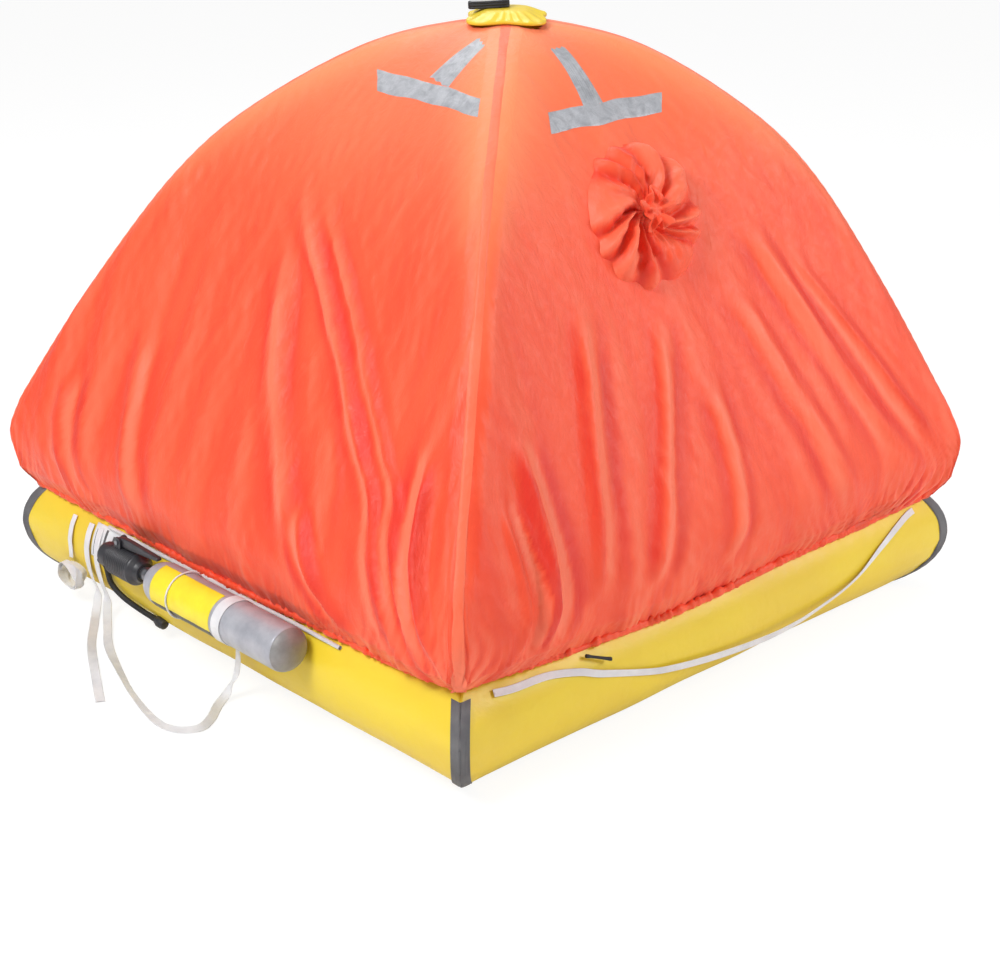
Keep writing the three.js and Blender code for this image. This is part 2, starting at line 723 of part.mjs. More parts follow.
/** Crown patch and the lamp that stands on it. */
function buildCrown() {
  const outline = crownPrism(lobedOutline(PATCH_GAP), CANOPY_TOP - 200, CANOPY_TOP + 60);
  const patch = patchDome().intersect(outline);
  add('crown_patch', shape(patch), finish.tube);

  const away = LAMP_OFFSET.length();
  const reach = CROWN_HOLE_R + CROWN_LOBE;
  const height = CANOPY_TOP + PATCH_RISE - PATCH_DROP * (away / reach) ** 2;
  const tilt = Math.atan((2 * PATCH_DROP * away) / reach ** 2);
  const out = LAMP_OFFSET.clone().normalize();
  const seat = new THREE.Vector3(CROWN_LEAN.x + LAMP_OFFSET.x, CROWN_LEAN.y + LAMP_OFFSET.y, height);
  const along = new THREE.Vector3(-out.x * Math.cos(tilt), -out.y * Math.cos(tilt), Math.sin(tilt));
  const across = new THREE.Vector3(out.y, -out.x, 0);
  const frame = new THREE.Matrix4().makeBasis(along, across, along.clone().cross(across));
  frame.setPosition(seat);
  const base = roundedBlock(LAMP_L, LAMP_W, LAMP_BASE_H, 9).translate(0, 0, SEAT);
  add('lamp_base', base.applyMatrix4(frame), finish.black);
  const lens = roundedBlock(LAMP_L - 2 * LENS_INSET, LAMP_W - 2 * LENS_INSET, LENS_H, 12);
  add('lamp_lens', lens.translate(0, 0, LAMP_BASE_H + 2 * SEAT).applyMatrix4(frame), finish.lens);
}

/** Block with rounded corners and a softened top edge, standing on z = 0. */
function roundedBlock(length, width, height, radius) {
  const soft = Math.min(3, height / 3);
  const [x, y] = [length / 2 - soft, width / 2 - soft];
  const r = radius - soft;
  const outline = new THREE.Shape();
  outline.moveTo(-x + r, -y);
  outline.lineTo(x - r, -y);
  outline.absarc(x - r, -y + r, r, -Math.PI / 2, 0);
  outline.absarc(x - r, y - r, r, 0, Math.PI / 2);
  outline.absarc(-x + r, y - r, r, Math.PI / 2, Math.PI);
  outline.absarc(-x + r, -y + r, r, Math.PI, 1.5 * Math.PI);
  return new THREE.ExtrudeGeometry(outline, {
    depth: height - 2 * soft,
    bevelThickness: soft,
    bevelSize: soft,
    bevelSegments: 1,
    curveSegments: 4,
  }).translate(0, 0, soft);
}

/** Gathered vent sleeve in its hole, and the cord tied round its neck. */
function buildVent() {
  const frame = ventFrame();
  const edge = VENT_R - SEAT - 0.2;
  const neck = VENT_NECK_R;
  const wall = CANOPY_WALL;
  const top = [
    [0, 58], [neck * 1.5, 56], [neck * 2.1, 46], [neck, 34], [neck, 22], [neck * 2, 16],
    [edge * 0.36, VENT_RISE * 0.8], [edge * 0.6, VENT_RISE], [edge * 0.82, VENT_RISE * 0.75], [edge, 0],
  ];
  const under = [[edge, -wall], [edge * 0.8, VENT_RISE * 0.5], [edge * 0.6, VENT_RISE - wall * 1.6],
    [edge * 0.3, VENT_RISE * 0.45], [neck * 1.6, 4], [0, 2]];
  const profile = [...top, ...under].map(([r, h]) => new THREE.Vector2(r, h));
  const sleeve = new THREE.LatheGeometry(profile, 4 * VENT_PLEATS);
  const p = sleeve.attributes.position;
  for (let i = 0; i < p.count; i++) {
    const [a, h, b] = [p.getX(i), p.getY(i), -p.getZ(i)];
    const r = Math.hypot(a, b);
    const turn = Math.atan2(b, a);
    const pleat = Math.sin(Math.PI * THREE.MathUtils.clamp((r - 2.2 * neck) / (edge - 2.2 * neck), 0, 1));
    const lift = h + 7 * pleat * Math.cos(VENT_PLEATS * turn);
    const level = r > 0 ? (r / edge) ** 2 * panelRise(frame, (a * edge) / r, (b * edge) / r) : 0;
    const place = frame.middle.clone()
      .addScaledVector(frame.along, a)
      .addScaledVector(frame.up, b)
      .addScaledVector(frame.out, lift + level);
    p.setXYZ(i, place.x, place.y, place.z);
  }
  add('vent_sleeve', faceOut(weld(sleeve)), finish.canopy);
  const tie = new THREE.TorusGeometry(neck + SEAT + TIE_CORD_R, TIE_CORD_R, 6, 20);
  const turned = new THREE.Matrix4().makeBasis(frame.along, frame.up, frame.out);
  turned.setPosition(frame.middle.clone().addScaledVector(frame.out, 28));
  add('vent_tie', tie.applyMatrix4(turned), finish.webbing);
}

/** Moves a solid along a direction until it just clears what it rests on. */
function settle(body, bed, direction) {
  let [inside, clear] = [-80, 80];
  for (let i = 0; i < 12; i++) {
    const middle = (inside + clear) / 2;
    const d = direction.clone().multiplyScalar(middle);
    const meets = body.translate([d.x, d.y, d.z]).intersect(bed).volume() > 1e-3;
    if (meets) inside = middle;
    else clear = middle;
  }
  return direction.clone().multiplyScalar(clear + SEAT);
}

/** Door flap rolled up over the doorway, and the two ties round it. */
function buildDoor() {
  const share = shareAtHeight(ROLL_Z);
  const side = 2;
  const out = skinNormal(side, 0, share);
  const middle = skinPoint(side, 0, share).addScaledVector(out, ROLL_R);
  const bed = canopyLayer(side, -CANOPY_WALL, 0, SEAT / 2);
  const outline = rollOutline();
  const roll = new THREE.ExtrudeGeometry(outline, { depth: ROLL_LENGTH, bevelEnabled: false })
    .translate(0, 0, -ROLL_LENGTH / 2)
    .rotateY(Math.PI / 2)
    .translate(middle.x, middle.y, middle.z);
  const lift = settle(solid(roll), bed, out);
  add('door_flap_roll', roll.translate(lift.x, lift.y, lift.z), finish.canopy);

  const clearBed = canopyLayer(side, -CANOPY_WALL - SEAT, SEAT, SEAT / 2);
  const inner = ROLL_R + SEAT;
  const band = [[inner, 0], [inner + DOOR_TIE_T, 0], [inner + DOOR_TIE_T, DOOR_TIE_W], [inner, DOOR_TIE_W], [inner, 0]];
  [-1, 1].forEach((sign) => {
    const ring = new THREE.LatheGeometry(band.map(([r, y]) => new THREE.Vector2(r, y)), 28)
      .translate(0, -DOOR_TIE_W / 2, 0)
      .rotateZ(Math.PI / 2)
      .translate(middle.x + lift.x + sign * DOOR_TIE_PLACE, middle.y + lift.y, middle.z + lift.z);
    const name = sign < 0 ? 'door_tie_left' : 'door_tie_right';
    add(name, shape(solid(ring).subtract(clearBed)), finish.webbing);
  });
}

/** End view of the rolled flap: a round with the step of its last turn. */
function rollOutline() {
  const outline = new THREE.Shape();
  const steps = 22;
  for (let i = 0; i < steps; i++) {
    const a = (2 * Math.PI * i) / steps;
    const r = ROLL_R - 4 * (i / steps);
    if (i === 0) outline.moveTo(r, 0);
    else outline.lineTo(r * Math.cos(a), r * Math.sin(a));
  }
  return outline;
}

/** Layer of the lower tube between two distances from its surface. */
function tubeLayer(from, to) {
  const outer = solid(squareTube(LOWER_MID, LOWER_R + to, LOWER_R));
  return outer.subtract(solid(squareTube(LOWER_MID, LOWER_R + from, LOWER_R)));
}

/** Dark tapes over the mitred corners of the lower tube. */
function buildCornerTapes() {
  const layer = tubeLayer(SEAT, SEAT + TAPE_T);
  const high = LOWER_R + LOWER_R * Math.sin(HEM_ANGLE * DEG) - CORNER_TAPE_GAP + 9;
  SIDES.forEach((_, side) => {
    const reach = Math.SQRT2 * LOWER_MID;
    const block = box(reach + 200, 0, (CORNER_TAPE_LOW + high) / 2, 400, CORNER_TAPE_W, high - CORNER_TAPE_LOW);
    const tape = layer.intersect(solid(block.rotateZ(SIDES[side].turn - Math.PI / 4)));
    add(`corner_tape_${side + 1}`, shape(tape), finish.tape);
  });
}

/** Solid of revolution about the bottle's axis, which runs along the raft's side. */
function onBottleAxis(profile, segments) {
  const points = profile.map(([r, y]) => new THREE.Vector2(r, y));
  return new THREE.LatheGeometry(points, segments).translate(BOTTLE_X, 0, BOTTLE_AXIS_Z);
}
const BOTTLE_AWAY = LOWER_R / Math.cos(FACET_ANGLE) + SEAT + BOTTLE_R;
const BOTTLE_X = -(LOWER_MID + BOTTLE_AWAY * Math.cos(BOTTLE_ANGLE * DEG));
const BOTTLE_AXIS_Z = LOWER_R + BOTTLE_AWAY * Math.sin(BOTTLE_ANGLE * DEG);

/** Quarter ellipse from the axis or neck out to the bottle's wall. */
function ellipse(fromR, toR, fromY, toY, steps) {
  const points = [];
  for (let i = 0; i <= steps; i++) {
    const a = (Math.PI / 2) * (i / steps);
    points.push([fromR + (toR - fromR) * Math.sin(a), toY + (fromY - toY) * Math.cos(a)]);
  }
  return points;
}

/** Gas bottle with its neck, label, strap and tie. */
function buildBottle() {
  const neck = NECK_D / 2;
  const dome = ellipse(0, BOTTLE_R, BOTTLE_END, BOTTLE_END + DOME_DEPTH, 5);
  const shoulder = ellipse(neck + 2, BOTTLE_R, BOTTLE_NECK, BOTTLE_SHOULDER, 5).reverse();
  add('gas_bottle', onBottleAxis([...dome, ...shoulder, [0, BOTTLE_NECK]], 24), finish.metal);
  const valve = [
    [0, BOTTLE_NECK + SEAT], [neck, BOTTLE_NECK + SEAT], [neck, BOTTLE_NECK + 16], [neck * 0.8, BOTTLE_NECK + 20],
    [neck * 0.8, HEAD_START - SEAT], [0, HEAD_START - SEAT],
  ];
  add('bottle_valve', onBottleAxis(valve, 20), finish.metal);

  const bed = solid(squareTube(LOWER_MID, LOWER_R + SEAT, LOWER_R));
  const band = (low, high, inner, thick, segments) => {
    const ring = [[inner, low], [inner + thick, low], [inner + thick, high], [inner, high], [inner, low]];
    return solid(onBottleAxis(ring, segments));
  };
  const labelEnd = BOTTLE_SHOULDER - 5;
  const labelStart = STRAP_PLACE + STRAP_W / 2 + 12;
  const outward = solid(box(
    BOTTLE_X - BOTTLE_D, 0, BOTTLE_AXIS_Z + LABEL_UP, 2 * BOTTLE_D, RAFT_SIDE, BOTTLE_D + 2 * LABEL_UP,
  ));
  const label = band(labelStart, labelEnd, BOTTLE_R + SEAT, LABEL_T, 24).intersect(outward);
  add('bottle_label', shape(label), finish.label);
  const strap = band(STRAP_PLACE - STRAP_W / 2, STRAP_PLACE + STRAP_W / 2, BOTTLE_R + SEAT, STRAP_T, 24);
  add('bottle_strap', shape(strap.subtract(bed)), finish.webbing);
  const tieInner = BOTTLE_R + SEAT + LABEL_T + SEAT;
  const tie = band(BOTTLE_TIE_PLACE - 3, BOTTLE_TIE_PLACE + 3, tieInner, 5, 24);
  add('bottle_tie', shape(tie.subtract(bed)), finish.webbing);
}

/** Operating head with its lugs and outlet, the firing lever and the pin it turns on. */
function buildHead() {
  const head = HEAD_D / 2;
  const cap = HEAD_CAP_D / 2;
  const profile = [
    [0, HEAD_START], [head * 0.62, HEAD_START], [head * 0.72, HEAD_START + 14], [head, HEAD_START + 26],
    [head, HEAD_END - 8], [head - 6, HEAD_END], [cap, HEAD_END + 2], [cap, HEAD_CAP_END - 10],
    [cap - 8, HEAD_CAP_END], [0, HEAD_CAP_END],
  ];
  let body = solid(onBottleAxis(profile, 28));
  const pivotZ = BOTTLE_AXIS_Z + LEVER_RISE;
  const gap = LEVER_W / 2 + PIN_GAP;
  [-1, 1].forEach((sign) => {
    const lug = lugPlate(LEVER_EYE_R + 2, LEVER_RISE - head / 2)
      .translate(BOTTLE_X + sign * (gap + LUG_T / 2), LEVER_PIVOT_Y, pivotZ);
    body = body.add(solid(lug));
  });
  const clear = new THREE.CylinderGeometry(PIN_D / 2 + PIN_GAP, PIN_D / 2 + PIN_GAP, 80, 16)
    .rotateZ(Math.PI / 2)
    .translate(BOTTLE_X, LEVER_PIVOT_Y, pivotZ);
  const swing = new THREE.CylinderGeometry(LEVER_EYE_R + 1, LEVER_EYE_R + 1, 2 * gap, 24)
    .rotateZ(Math.PI / 2)
    .translate(BOTTLE_X, LEVER_PIVOT_Y, pivotZ);
  body = body.add(solid(outletBoss())).subtract(solid(clear)).subtract(solid(swing));
  add('operating_head', shape(body), finish.black);

  const lever = solid(leverPlate()).subtract(solid(clear.clone()));
  add('firing_lever', shape(lever), finish.black);
  const half = gap + LUG_T;
  const pin = [[0, -half - 4], [PIN_D * 0.8, -half - 4], [PIN_D * 0.8, -half - SEAT], [PIN_D / 2, -half - SEAT],
    [PIN_D / 2, half + SEAT], [PIN_D * 0.8, half + SEAT], [PIN_D * 0.8, half + 4], [0, half + 4]];
  const turned = new THREE.LatheGeometry(pin.map(([r, y]) => new THREE.Vector2(r, y)), 16)
    .rotateZ(Math.PI / 2)
    .translate(BOTTLE_X, LEVER_PIVOT_Y, pivotZ);
  add('lever_pin', turned, finish.metal);
}

/** Upright lug with a round top and a foot that runs down into the head. */
function lugPlate(radius, drop) {
  const outline = new THREE.Shape();
  outline.moveTo(-radius, -drop);
  outline.lineTo(radius, -drop);
  outline.lineTo(radius, 0);
  outline.absarc(0, 0, radius, 0, Math.PI);
  const plate = new THREE.ExtrudeGeometry(outline, { depth: LUG_T, bevelEnabled: false, curveSegments: 8 });
  return plate.translate(0, 0, -LUG_T / 2).rotateX(Math.PI / 2).rotateZ(Math.PI / 2);
}

/** Side view of the firing lever: a round eye and an arm that tapers over the bottle's neck. */
function leverPlate() {
  const r = LEVER_EYE_R;
  const outline = new THREE.Shape();
  outline.moveTo(0, r);
  outline.absarc(0, 0, r, Math.PI / 2, 1.5 * Math.PI);
  outline.lineTo(40, -r + 1);
  outline.lineTo(LEVER_LENGTH, -1);
  outline.quadraticCurveTo(LEVER_LENGTH + 8, 4, LEVER_LENGTH, 9);
  outline.lineTo(60, r + 3);
  outline.quadraticCurveTo(20, r + 4, 0, r);
  const plate = new THREE.ExtrudeGeometry(outline, { depth: LEVER_W, bevelEnabled: false, curveSegments: 8 });
  const pivotZ = BOTTLE_AXIS_Z + LEVER_RISE;
  return plate.translate(0, 0, -LEVER_W / 2)
    .rotateX(Math.PI / 2)
    .rotateZ(-Math.PI / 2)
    .translate(BOTTLE_X, LEVER_PIVOT_Y, pivotZ);
}

/** Middle line of the hose from the head's outlet round the tube to its inlet. */
function hosePoints() {
  const lay = LOWER_R + HOSE_D / 2 + 2.5;
  const outletY = HEAD_CAP_END - 22;
  return [
    new THREE.Vector3(BOTTLE_X - 4, outletY + 28, BOTTLE_AXIS_Z - 20),
    new THREE.Vector3(BOTTLE_X - 2, outletY + 50, BOTTLE_AXIS_Z - 30),
    besideTube(3, -(outletY + 74), 4, lay + 6),
    besideTube(3, -(outletY + 72), -14, lay),
    besideTube(3, -(outletY + 40), -26, lay),
    besideTube(3, -(outletY - 20), -34, lay),
    besideTube(3, -(outletY - 85), -38, lay),
  ];
}

/** Boss on the end of the head that the hose leaves. */
function outletBoss() {
  const [start] = hosePoints();
  const boss = new THREE.CylinderGeometry(HOSE_D * 0.75, HOSE_D * 0.75, 40, 14);
  return boss.translate(start.x, start.y - 24.5, start.z);
}

/** Inflation hose and the inlet on the lower tube that it ends in. */
function buildHose() {
  const points = hosePoints();
  add('inflation_hose', tubeAlong(points, HOSE_D, 30, HOSE_SIDES), finish.black);
  const end = points[points.length - 1];
  const dir = end.clone().sub(points[points.length - 2]).normalize();
  const inlet = new THREE.CylinderGeometry(INLET_D / 2, INLET_D / 2, 34, 16);
  inlet.applyQuaternion(new THREE.Quaternion().setFromUnitVectors(new THREE.Vector3(0, 1, 0), dir));
  const middle = end.clone().addScaledVector(dir, 17 + 3 * SEAT);
  inlet.translate(middle.x, middle.y, middle.z);
  const bed = solid(squareTube(LOWER_MID, LOWER_R + SEAT, LOWER_R));
  add('hose_inlet', shape(solid(inlet).subtract(bed)), finish.black);
}

/** Topping-up valves with quarter-turn caps, and relief valves, on the inner faces. */
function buildValves() {
  const flange = VALVE_FLANGE_D / 2;
  const barrel = VALVE_BARREL_D / 2;
  const bodyProfile = [[0, SEAT], [flange, SEAT], [flange, 3], [barrel + 2, 4.5], [barrel, VALVE_H], [0, VALVE_H]];
  const reliefProfile = [
    [0, SEAT], [flange, SEAT], [flange, 3], [barrel + 2, 5], [barrel + 2, 10], [barrel - 6, 15], [0, 15],
  ];
  const faces = [
    { level: 'lower', reach: LOWER_MID - LOWER_R, z: LOWER_R },
    { level: 'upper', reach: UPPER_MID - UPPER_R, z: UPPER_Z },
  ];
  const lathe = (profile, segments) => (
    new THREE.LatheGeometry(profile.map(([r, y]) => new THREE.Vector2(r, y)), segments)
  );
  faces.forEach(({ level, reach, z }) => {
    const seat = onSide(2, VALVE_PLACE, reach, z);
    const body = lathe(bodyProfile, 24).rotateX(Math.PI).translate(seat.x, seat.y, seat.z);
    add(`topping_valve_${level}`, body, finish.black);
    const cap = capGeometry().rotateX(Math.PI).translate(seat.x, seat.y - VALVE_H - SEAT, seat.z);
    add(`topping_cap_${level}`, cap, finish.tape);
    const relief = onSide(1, 0, reach, z);
    const valve = lathe(reliefProfile, 24).rotateZ(Math.PI / 2).translate(relief.x, relief.y, relief.z);
    add(`relief_valve_${level}`, valve, finish.black);
  });
}

/** Valve cap with finger lobes round its rim, standing up along Y. */
function capGeometry() {
  const outline = new THREE.Shape();
  const steps = 36;
  for (let i = 0; i < steps; i++) {
    const a = (2 * Math.PI * i) / steps;
    const r = CAP_D / 2 - 1.5 + 1.5 * Math.cos(6 * a);
    if (i === 0) outline.moveTo(r, 0);
    else outline.lineTo(r * Math.cos(a), r * Math.sin(a));
  }
  const cap = new THREE.ExtrudeGeometry(outline, { depth: CAP_H, bevelEnabled: false });
  return cap.rotateX(-Math.PI / 2);
}

/** Boarding ladder of webbing on the tube below the doorway. */
function buildLadder() {
  const layer = tubeLayer(SEAT, SEAT + 2.5);
  const high = LOWER_R + LOWER_R * Math.sin((HEM_ANGLE - 6) * DEG);
  const face = RAFT_SIDE / 2;
  const depth = LOWER_TUBE_D;
  const strap = (sign) => box(
    sign * LADDER_W / 2, face, (LADDER_FOOT + high) / 2, LADDER_STRAP_W, depth, high - LADDER_FOOT,
  );
  let pattern = solid(strap(-1)).add(solid(strap(1)));
  for (let i = 0; i < LADDER_RUNGS; i++) {
    const z = LADDER_FOOT + ((high - LADDER_FOOT) * (i + 0.35)) / LADDER_RUNGS;
    pattern = pattern.add(solid(box(0, face, z, LADDER_W, depth, LADDER_RUNG_W)));
  }
  add('boarding_ladder', shape(layer.intersect(pattern)), finish.webbing);
}

/** White patch on the tube beside the operating head. */
function buildPatch() {
  const layer = tubeLayer(SEAT, SEAT + 0.8);
  const block = box(-RAFT_SIDE / 2, PATCH_Y, LOWER_R + PATCH_MID, LOWER_R, PATCH_W, PATCH_H);
  add('barred_patch', shape(layer.intersect(solid(block))), finish.reflector);
}

/** Free webbing and cords, each along points chosen by hand. */
function buildCords() {
  const v = (x, y, z) => new THREE.Vector3(x, y, z);
  add('grab_line', tubeAlong([
    v(-800, -876.8, 249.2), v(-720, -878, 250), v(-610, -881.5, 245), v(-520, -893, 226), v(-440, -904, 196),
    v(-262, -911, 143), v(-47, -910, 104), v(180, -909, 89), v(378, -910, 111), v(498, -911, 143),
    v(600, -904, 195), v(680, -892, 227), v(740, -881.5, 245), v(775, -876.8, 249.2),
  ], WEBBING_D, 56, CORD_SIDES), finish.webbing);
  add('operating_webbing', tubeAlong([
    v(-880.4, 536, 242.4), v(-896, 532, 217), v(-908, 529, 180), v(-909, 526, 135), v(-903, 520, 90), v(-896, 508, 45),
    v(-915, 480, 14), v(-950, 425, 6.6), v(-999, 345, 6.6), v(-1055, 215, 6.6), v(-1104, 81, 6.6),
    v(-1136, -60, 6.6), v(-1128, -140, 6.6), v(-1085, -176, 6.6), v(-1040, -160, 6.6), v(-985, -115, 6.6),
    v(-945, -98, 22), v(-927, -108, 68), v(-934, -130, 118), v(-943, -145, 163),
  ], WEBBING_D, 72, CORD_SIDES), finish.webbing);
  add('webbing_tail', tubeAlong([
    v(-880.4, 580, 242.4), v(-896, 578, 217), v(-908, 575, 180), v(-909, 572, 135), v(-903, 566, 90), v(-894, 556, 45),
    v(-920, 528, 12), v(-965, 468, 6.6), v(-1030, 378, 6.6), v(-1100, 255, 6.6), v(-1180, 105, 6.6),
  ], WEBBING_D, 44, CORD_SIDES), finish.webbing);
  add('hank_webbing', tubeAlong([
    v(-880.4, 662, 242.4), v(-895.5, 661, 216.5), v(-906, 660, 180), v(-908, 657, 150), v(-911, 653, 126),
  ], WEBBING_D, 16, CORD_SIDES), finish.webbing);
  const hank = new THREE.TorusKnotGeometry(24, 7, 48, 8, 2, 3).rotateY(Math.PI / 2).scale(0.9, 1.5, 1.05);
  add('webbing_hank', hank.translate(-910.6, 648, 82), finish.webbing);
  const cord = [];
  for (let i = 0; i <= 8; i++) cord.push(besideTube(3, -500 + 120 * i, 37, LOWER_R + HEM_CORD_D / 2 + 1.8));
  add('hem_cord', tubeAlong(cord, HEM_CORD_D, 24, CORD_SIDES), finish.webbing);
  add('hem_toggle', tubeAlong([
    v(-490, -882, 238.8), v(-455, -892, 231), v(-420, -905, 224),
  ], 10, 4, CORD_SIDES), finish.black);
}

buildTubes();
buildFloor();
add('arch_tubes', shape(archSolid()), finish.tube);
buildPanels();
buildHem();
buildRidgeTapes();
buildReflectors();
buildCrown();
buildVent();
buildDoor();
buildCornerTapes();
buildBottle();
buildHead();
buildHose();
buildValves();
buildLadder();
buildPatch();
buildCords();

export default raft;
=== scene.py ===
"""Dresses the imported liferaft: tubes, cloth canopy, webbing, gas bottle and lamp.

Metres, +Z up, with the origin in the middle of the floor's underside. The side with the vent
faces -Y and the side with the gas bottle faces -X.
"""

import logging
import math
from dataclasses import dataclass, field
from enum import Enum

import bmesh
import bpy
import numpy as np
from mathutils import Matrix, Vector


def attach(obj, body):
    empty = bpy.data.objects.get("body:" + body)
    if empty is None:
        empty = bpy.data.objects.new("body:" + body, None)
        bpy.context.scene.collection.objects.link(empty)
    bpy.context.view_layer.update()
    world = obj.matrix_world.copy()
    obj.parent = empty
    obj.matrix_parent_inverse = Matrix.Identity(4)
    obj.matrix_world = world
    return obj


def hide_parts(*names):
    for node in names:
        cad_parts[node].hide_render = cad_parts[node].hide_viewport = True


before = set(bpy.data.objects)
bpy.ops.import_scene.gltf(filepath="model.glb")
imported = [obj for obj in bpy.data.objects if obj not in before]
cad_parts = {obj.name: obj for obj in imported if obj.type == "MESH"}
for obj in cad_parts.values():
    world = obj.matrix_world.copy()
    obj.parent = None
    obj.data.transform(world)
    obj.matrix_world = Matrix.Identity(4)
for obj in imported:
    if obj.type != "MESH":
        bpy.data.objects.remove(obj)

LOG = logging.getLogger("liferaft")
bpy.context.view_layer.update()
BODY = "raft"
TAU = 2.0 * math.pi

# Sizes shared by several sub-assemblies, in metres
LOWER_R = 0.155
LOWER_MID = 0.745
UPPER_R = 0.119
UPPER_MID = 0.781
UPPER_Z = 0.4293
CORNER_R = 0.010
BOTTLE_X = -0.94445
BOTTLE_Z = 0.23156
BOTTLE_R = 0.057
LEAN = np.array([0.047, -0.047])
CROWN_Z = 1.5478
CROWN_R = 0.094
X_AXIS, Y_AXIS, Z_AXIS = np.eye(3)

# Share of a rounded square's side that is flat, at each side of its middle
FLAT_SHARE = 0.9


class Side(Enum):
    """The four sides of the raft, each with its turn about the upright axis."""

    VENT = 0.0
    FAR = math.pi / 2
    ENTRANCE = math.pi
    BOTTLE = -math.pi / 2

    def place(self, along: np.ndarray, out: np.ndarray, z: np.ndarray) -> np.ndarray:
        """Point on this side, from its distance along, out from the middle and up.

        Args:
            along: distance along the side, to the right as it is faced.
            out: distance out from the middle of the raft.
            z: height.

        Returns:
            The points, with one more axis of length three.
        """
        c, s = math.cos(self.value), math.sin(self.value)
        along, out, z = np.broadcast_arrays(along, out, z)
        return np.stack([along * c + out * s, along * s - out * c, z], axis=-1)


class Slot(Enum):
    """Material slots of the record, named with each new piece."""

    TUBE = "tube_fabric"
    CANOPY = "canopy_fabric"
    FLOOR = "floor_fabric"
    CORNER = "corner_tape"
    REFLECTOR = "reflector"
    WEBBING = "webbing"
    METAL = "bottle_metal"
    BLACK = "black_fitting"
    CAP = "cap_grey"
    LABEL = "label"
    LENS = "lens"


def unit(v: np.ndarray) -> np.ndarray:
    """Vectors along the last axis, each divided by its length."""
    return v / np.maximum(np.linalg.norm(v, axis=-1, keepdims=True), 1e-12)


def smooth(x: np.ndarray, low: float, high: float) -> np.ndarray:
    """Smooth step: 0 below low, 1 above high, and 3t squared less 2t cubed between."""
    t = np.clip((np.asarray(x, float) - low) / (high - low), 0.0, 1.0)
    return t * t * (3.0 - 2.0 * t)


def bump(d: np.ndarray, width: float) -> np.ndarray:
    """Bell curve: e to the power of minus the square of distance over width."""
    return np.exp(-((d / width) ** 2))


def ripples(a: np.ndarray, b: np.ndarray, seed: int, waves: int, low: float, high: float,
            heading: float = 0.0, spread: float = math.pi) -> np.ndarray:
    """Sum of plane waves of seeded lengths, headings and phases, about -1 to 1.

    Args:
        a: first coordinate, in metres.
        b: second coordinate, in metres.
        seed: number that fixes the waves.
        waves: how many waves are summed.
        low: shortest wave in metres.
        high: longest wave in metres.
        heading: middle heading of the waves' travel from the first coordinate, in radians.
        spread: half the range of headings, in radians.

    Returns:
        The sum at each point, divided by the square root of half the number of waves.
    """
    rng = np.random.default_rng(seed)
    total = np.zeros(np.broadcast(a, b).shape)
    for _ in range(waves):
        length = low * (high / low) ** rng.random()
        turn = heading + spread * (2.0 * rng.random() - 1.0)
        phase = TAU * rng.random()
        total += np.sin(TAU * (a * math.cos(turn) + b * math.sin(turn)) / length + phase)
    return total / math.sqrt(waves / 2.0)


def pair(a: np.ndarray, b: np.ndarray) -> np.ndarray:
    """Two arrays of any matching shapes, stacked along a new last axis."""
    return np.stack(np.broadcast_arrays(a, b), axis=-1)


def catmull(points: np.ndarray, samples: int) -> np.ndarray:
    """Smooth curve through points, evenly spaced along its length.

    A uniform Catmull-Rom cubic runs between each two points: half the difference of a point's
    neighbours is its slope. The dense curve is then read at equal steps of its length.

    Args:
        points: control points, one per row.
        samples: how many points the result has.

    Returns:
        The points of the curve, one per row.
    """
    p = np.asarray(points, float)
    padded = np.vstack([p[:1], p, p[-1:]])
    t = np.linspace(0.0, 1.0, 33)[:-1, None]
    p0, p1, p2, p3 = (padded[k:len(p) - 1 + k, None, :] for k in range(4))
    v0, v1 = (p2 - p0) / 2, (p3 - p1) / 2
    dense = (2 * p1 - 2 * p2 + v0 + v1) * t**3 + (-3 * p1 + 3 * p2 - 2 * v0 - v1) * t**2 + v0 * t + p1
    dense = np.vstack([dense.reshape(-1, p.shape[1]), p[-1:]])
    steps = np.concatenate([[0.0], np.cumsum(np.linalg.norm(np.diff(dense, axis=0), axis=1))])
    at = np.linspace(0.0, steps[-1], samples)
    return np.stack([np.interp(at, steps, dense[:, k]) for k in range(p.shape[1])], axis=1)


def rounded_square(half: np.ndarray, radius: np.ndarray, u: np.ndarray) -> tuple[np.ndarray, np.ndarray]:
    """One side of a square with rounded corners, from the middle of one corner to the next.

    The flat runs to where the corner's arc starts, and the arc covers an eighth of a circle at
    each end. The arcs share what the flat leaves of u.

    Args:
        half: half the square's side.
        radius: radius of the corner.
        u: place along the side, from -1 to 1.

    Returns:
        Distance along the side, and distance out from the middle.
    """
    size = np.abs(u)
    bent = np.clip((size - FLAT_SHARE) / (1.0 - FLAT_SHARE), 0.0, 1.0) * math.pi / 4
    straight = (half - radius) * np.clip(size / FLAT_SHARE, 0.0, 1.0)
    return np.sign(u) * (straight + radius * np.sin(bent)), half - radius + radius * np.cos(bent)


def weld_mesh(mesh: bpy.types.Mesh, distance: float, outward: bool = False) -> None:
    """Joins a mesh's corners that meet, drops loose ones, and may turn its faces outwards.

    Args:
        mesh: the mesh.
        distance: distance under which corners are joined.
        outward: whether the faces of a closed mesh are turned outwards.
    """
    bm = bmesh.new()
    bm.from_mesh(mesh)
    bmesh.ops.remove_doubles(bm, verts=bm.verts, dist=distance)
    bmesh.ops.delete(bm, geom=[v for v in bm.verts if not v.link_faces], context="VERTS")
    if outward:
        bmesh.ops.recalc_face_normals(bm, faces=bm.faces)
    bm.to_mesh(mesh)
    bm.free()


def corners(piece: bpy.types.Object) -> np.ndarray:
    """Places of a piece's corners, one per row."""
    places = np.empty(len(piece.data.vertices) * 3)
    piece.data.vertices.foreach_get("co", places)
    return places.reshape(-1, 3)


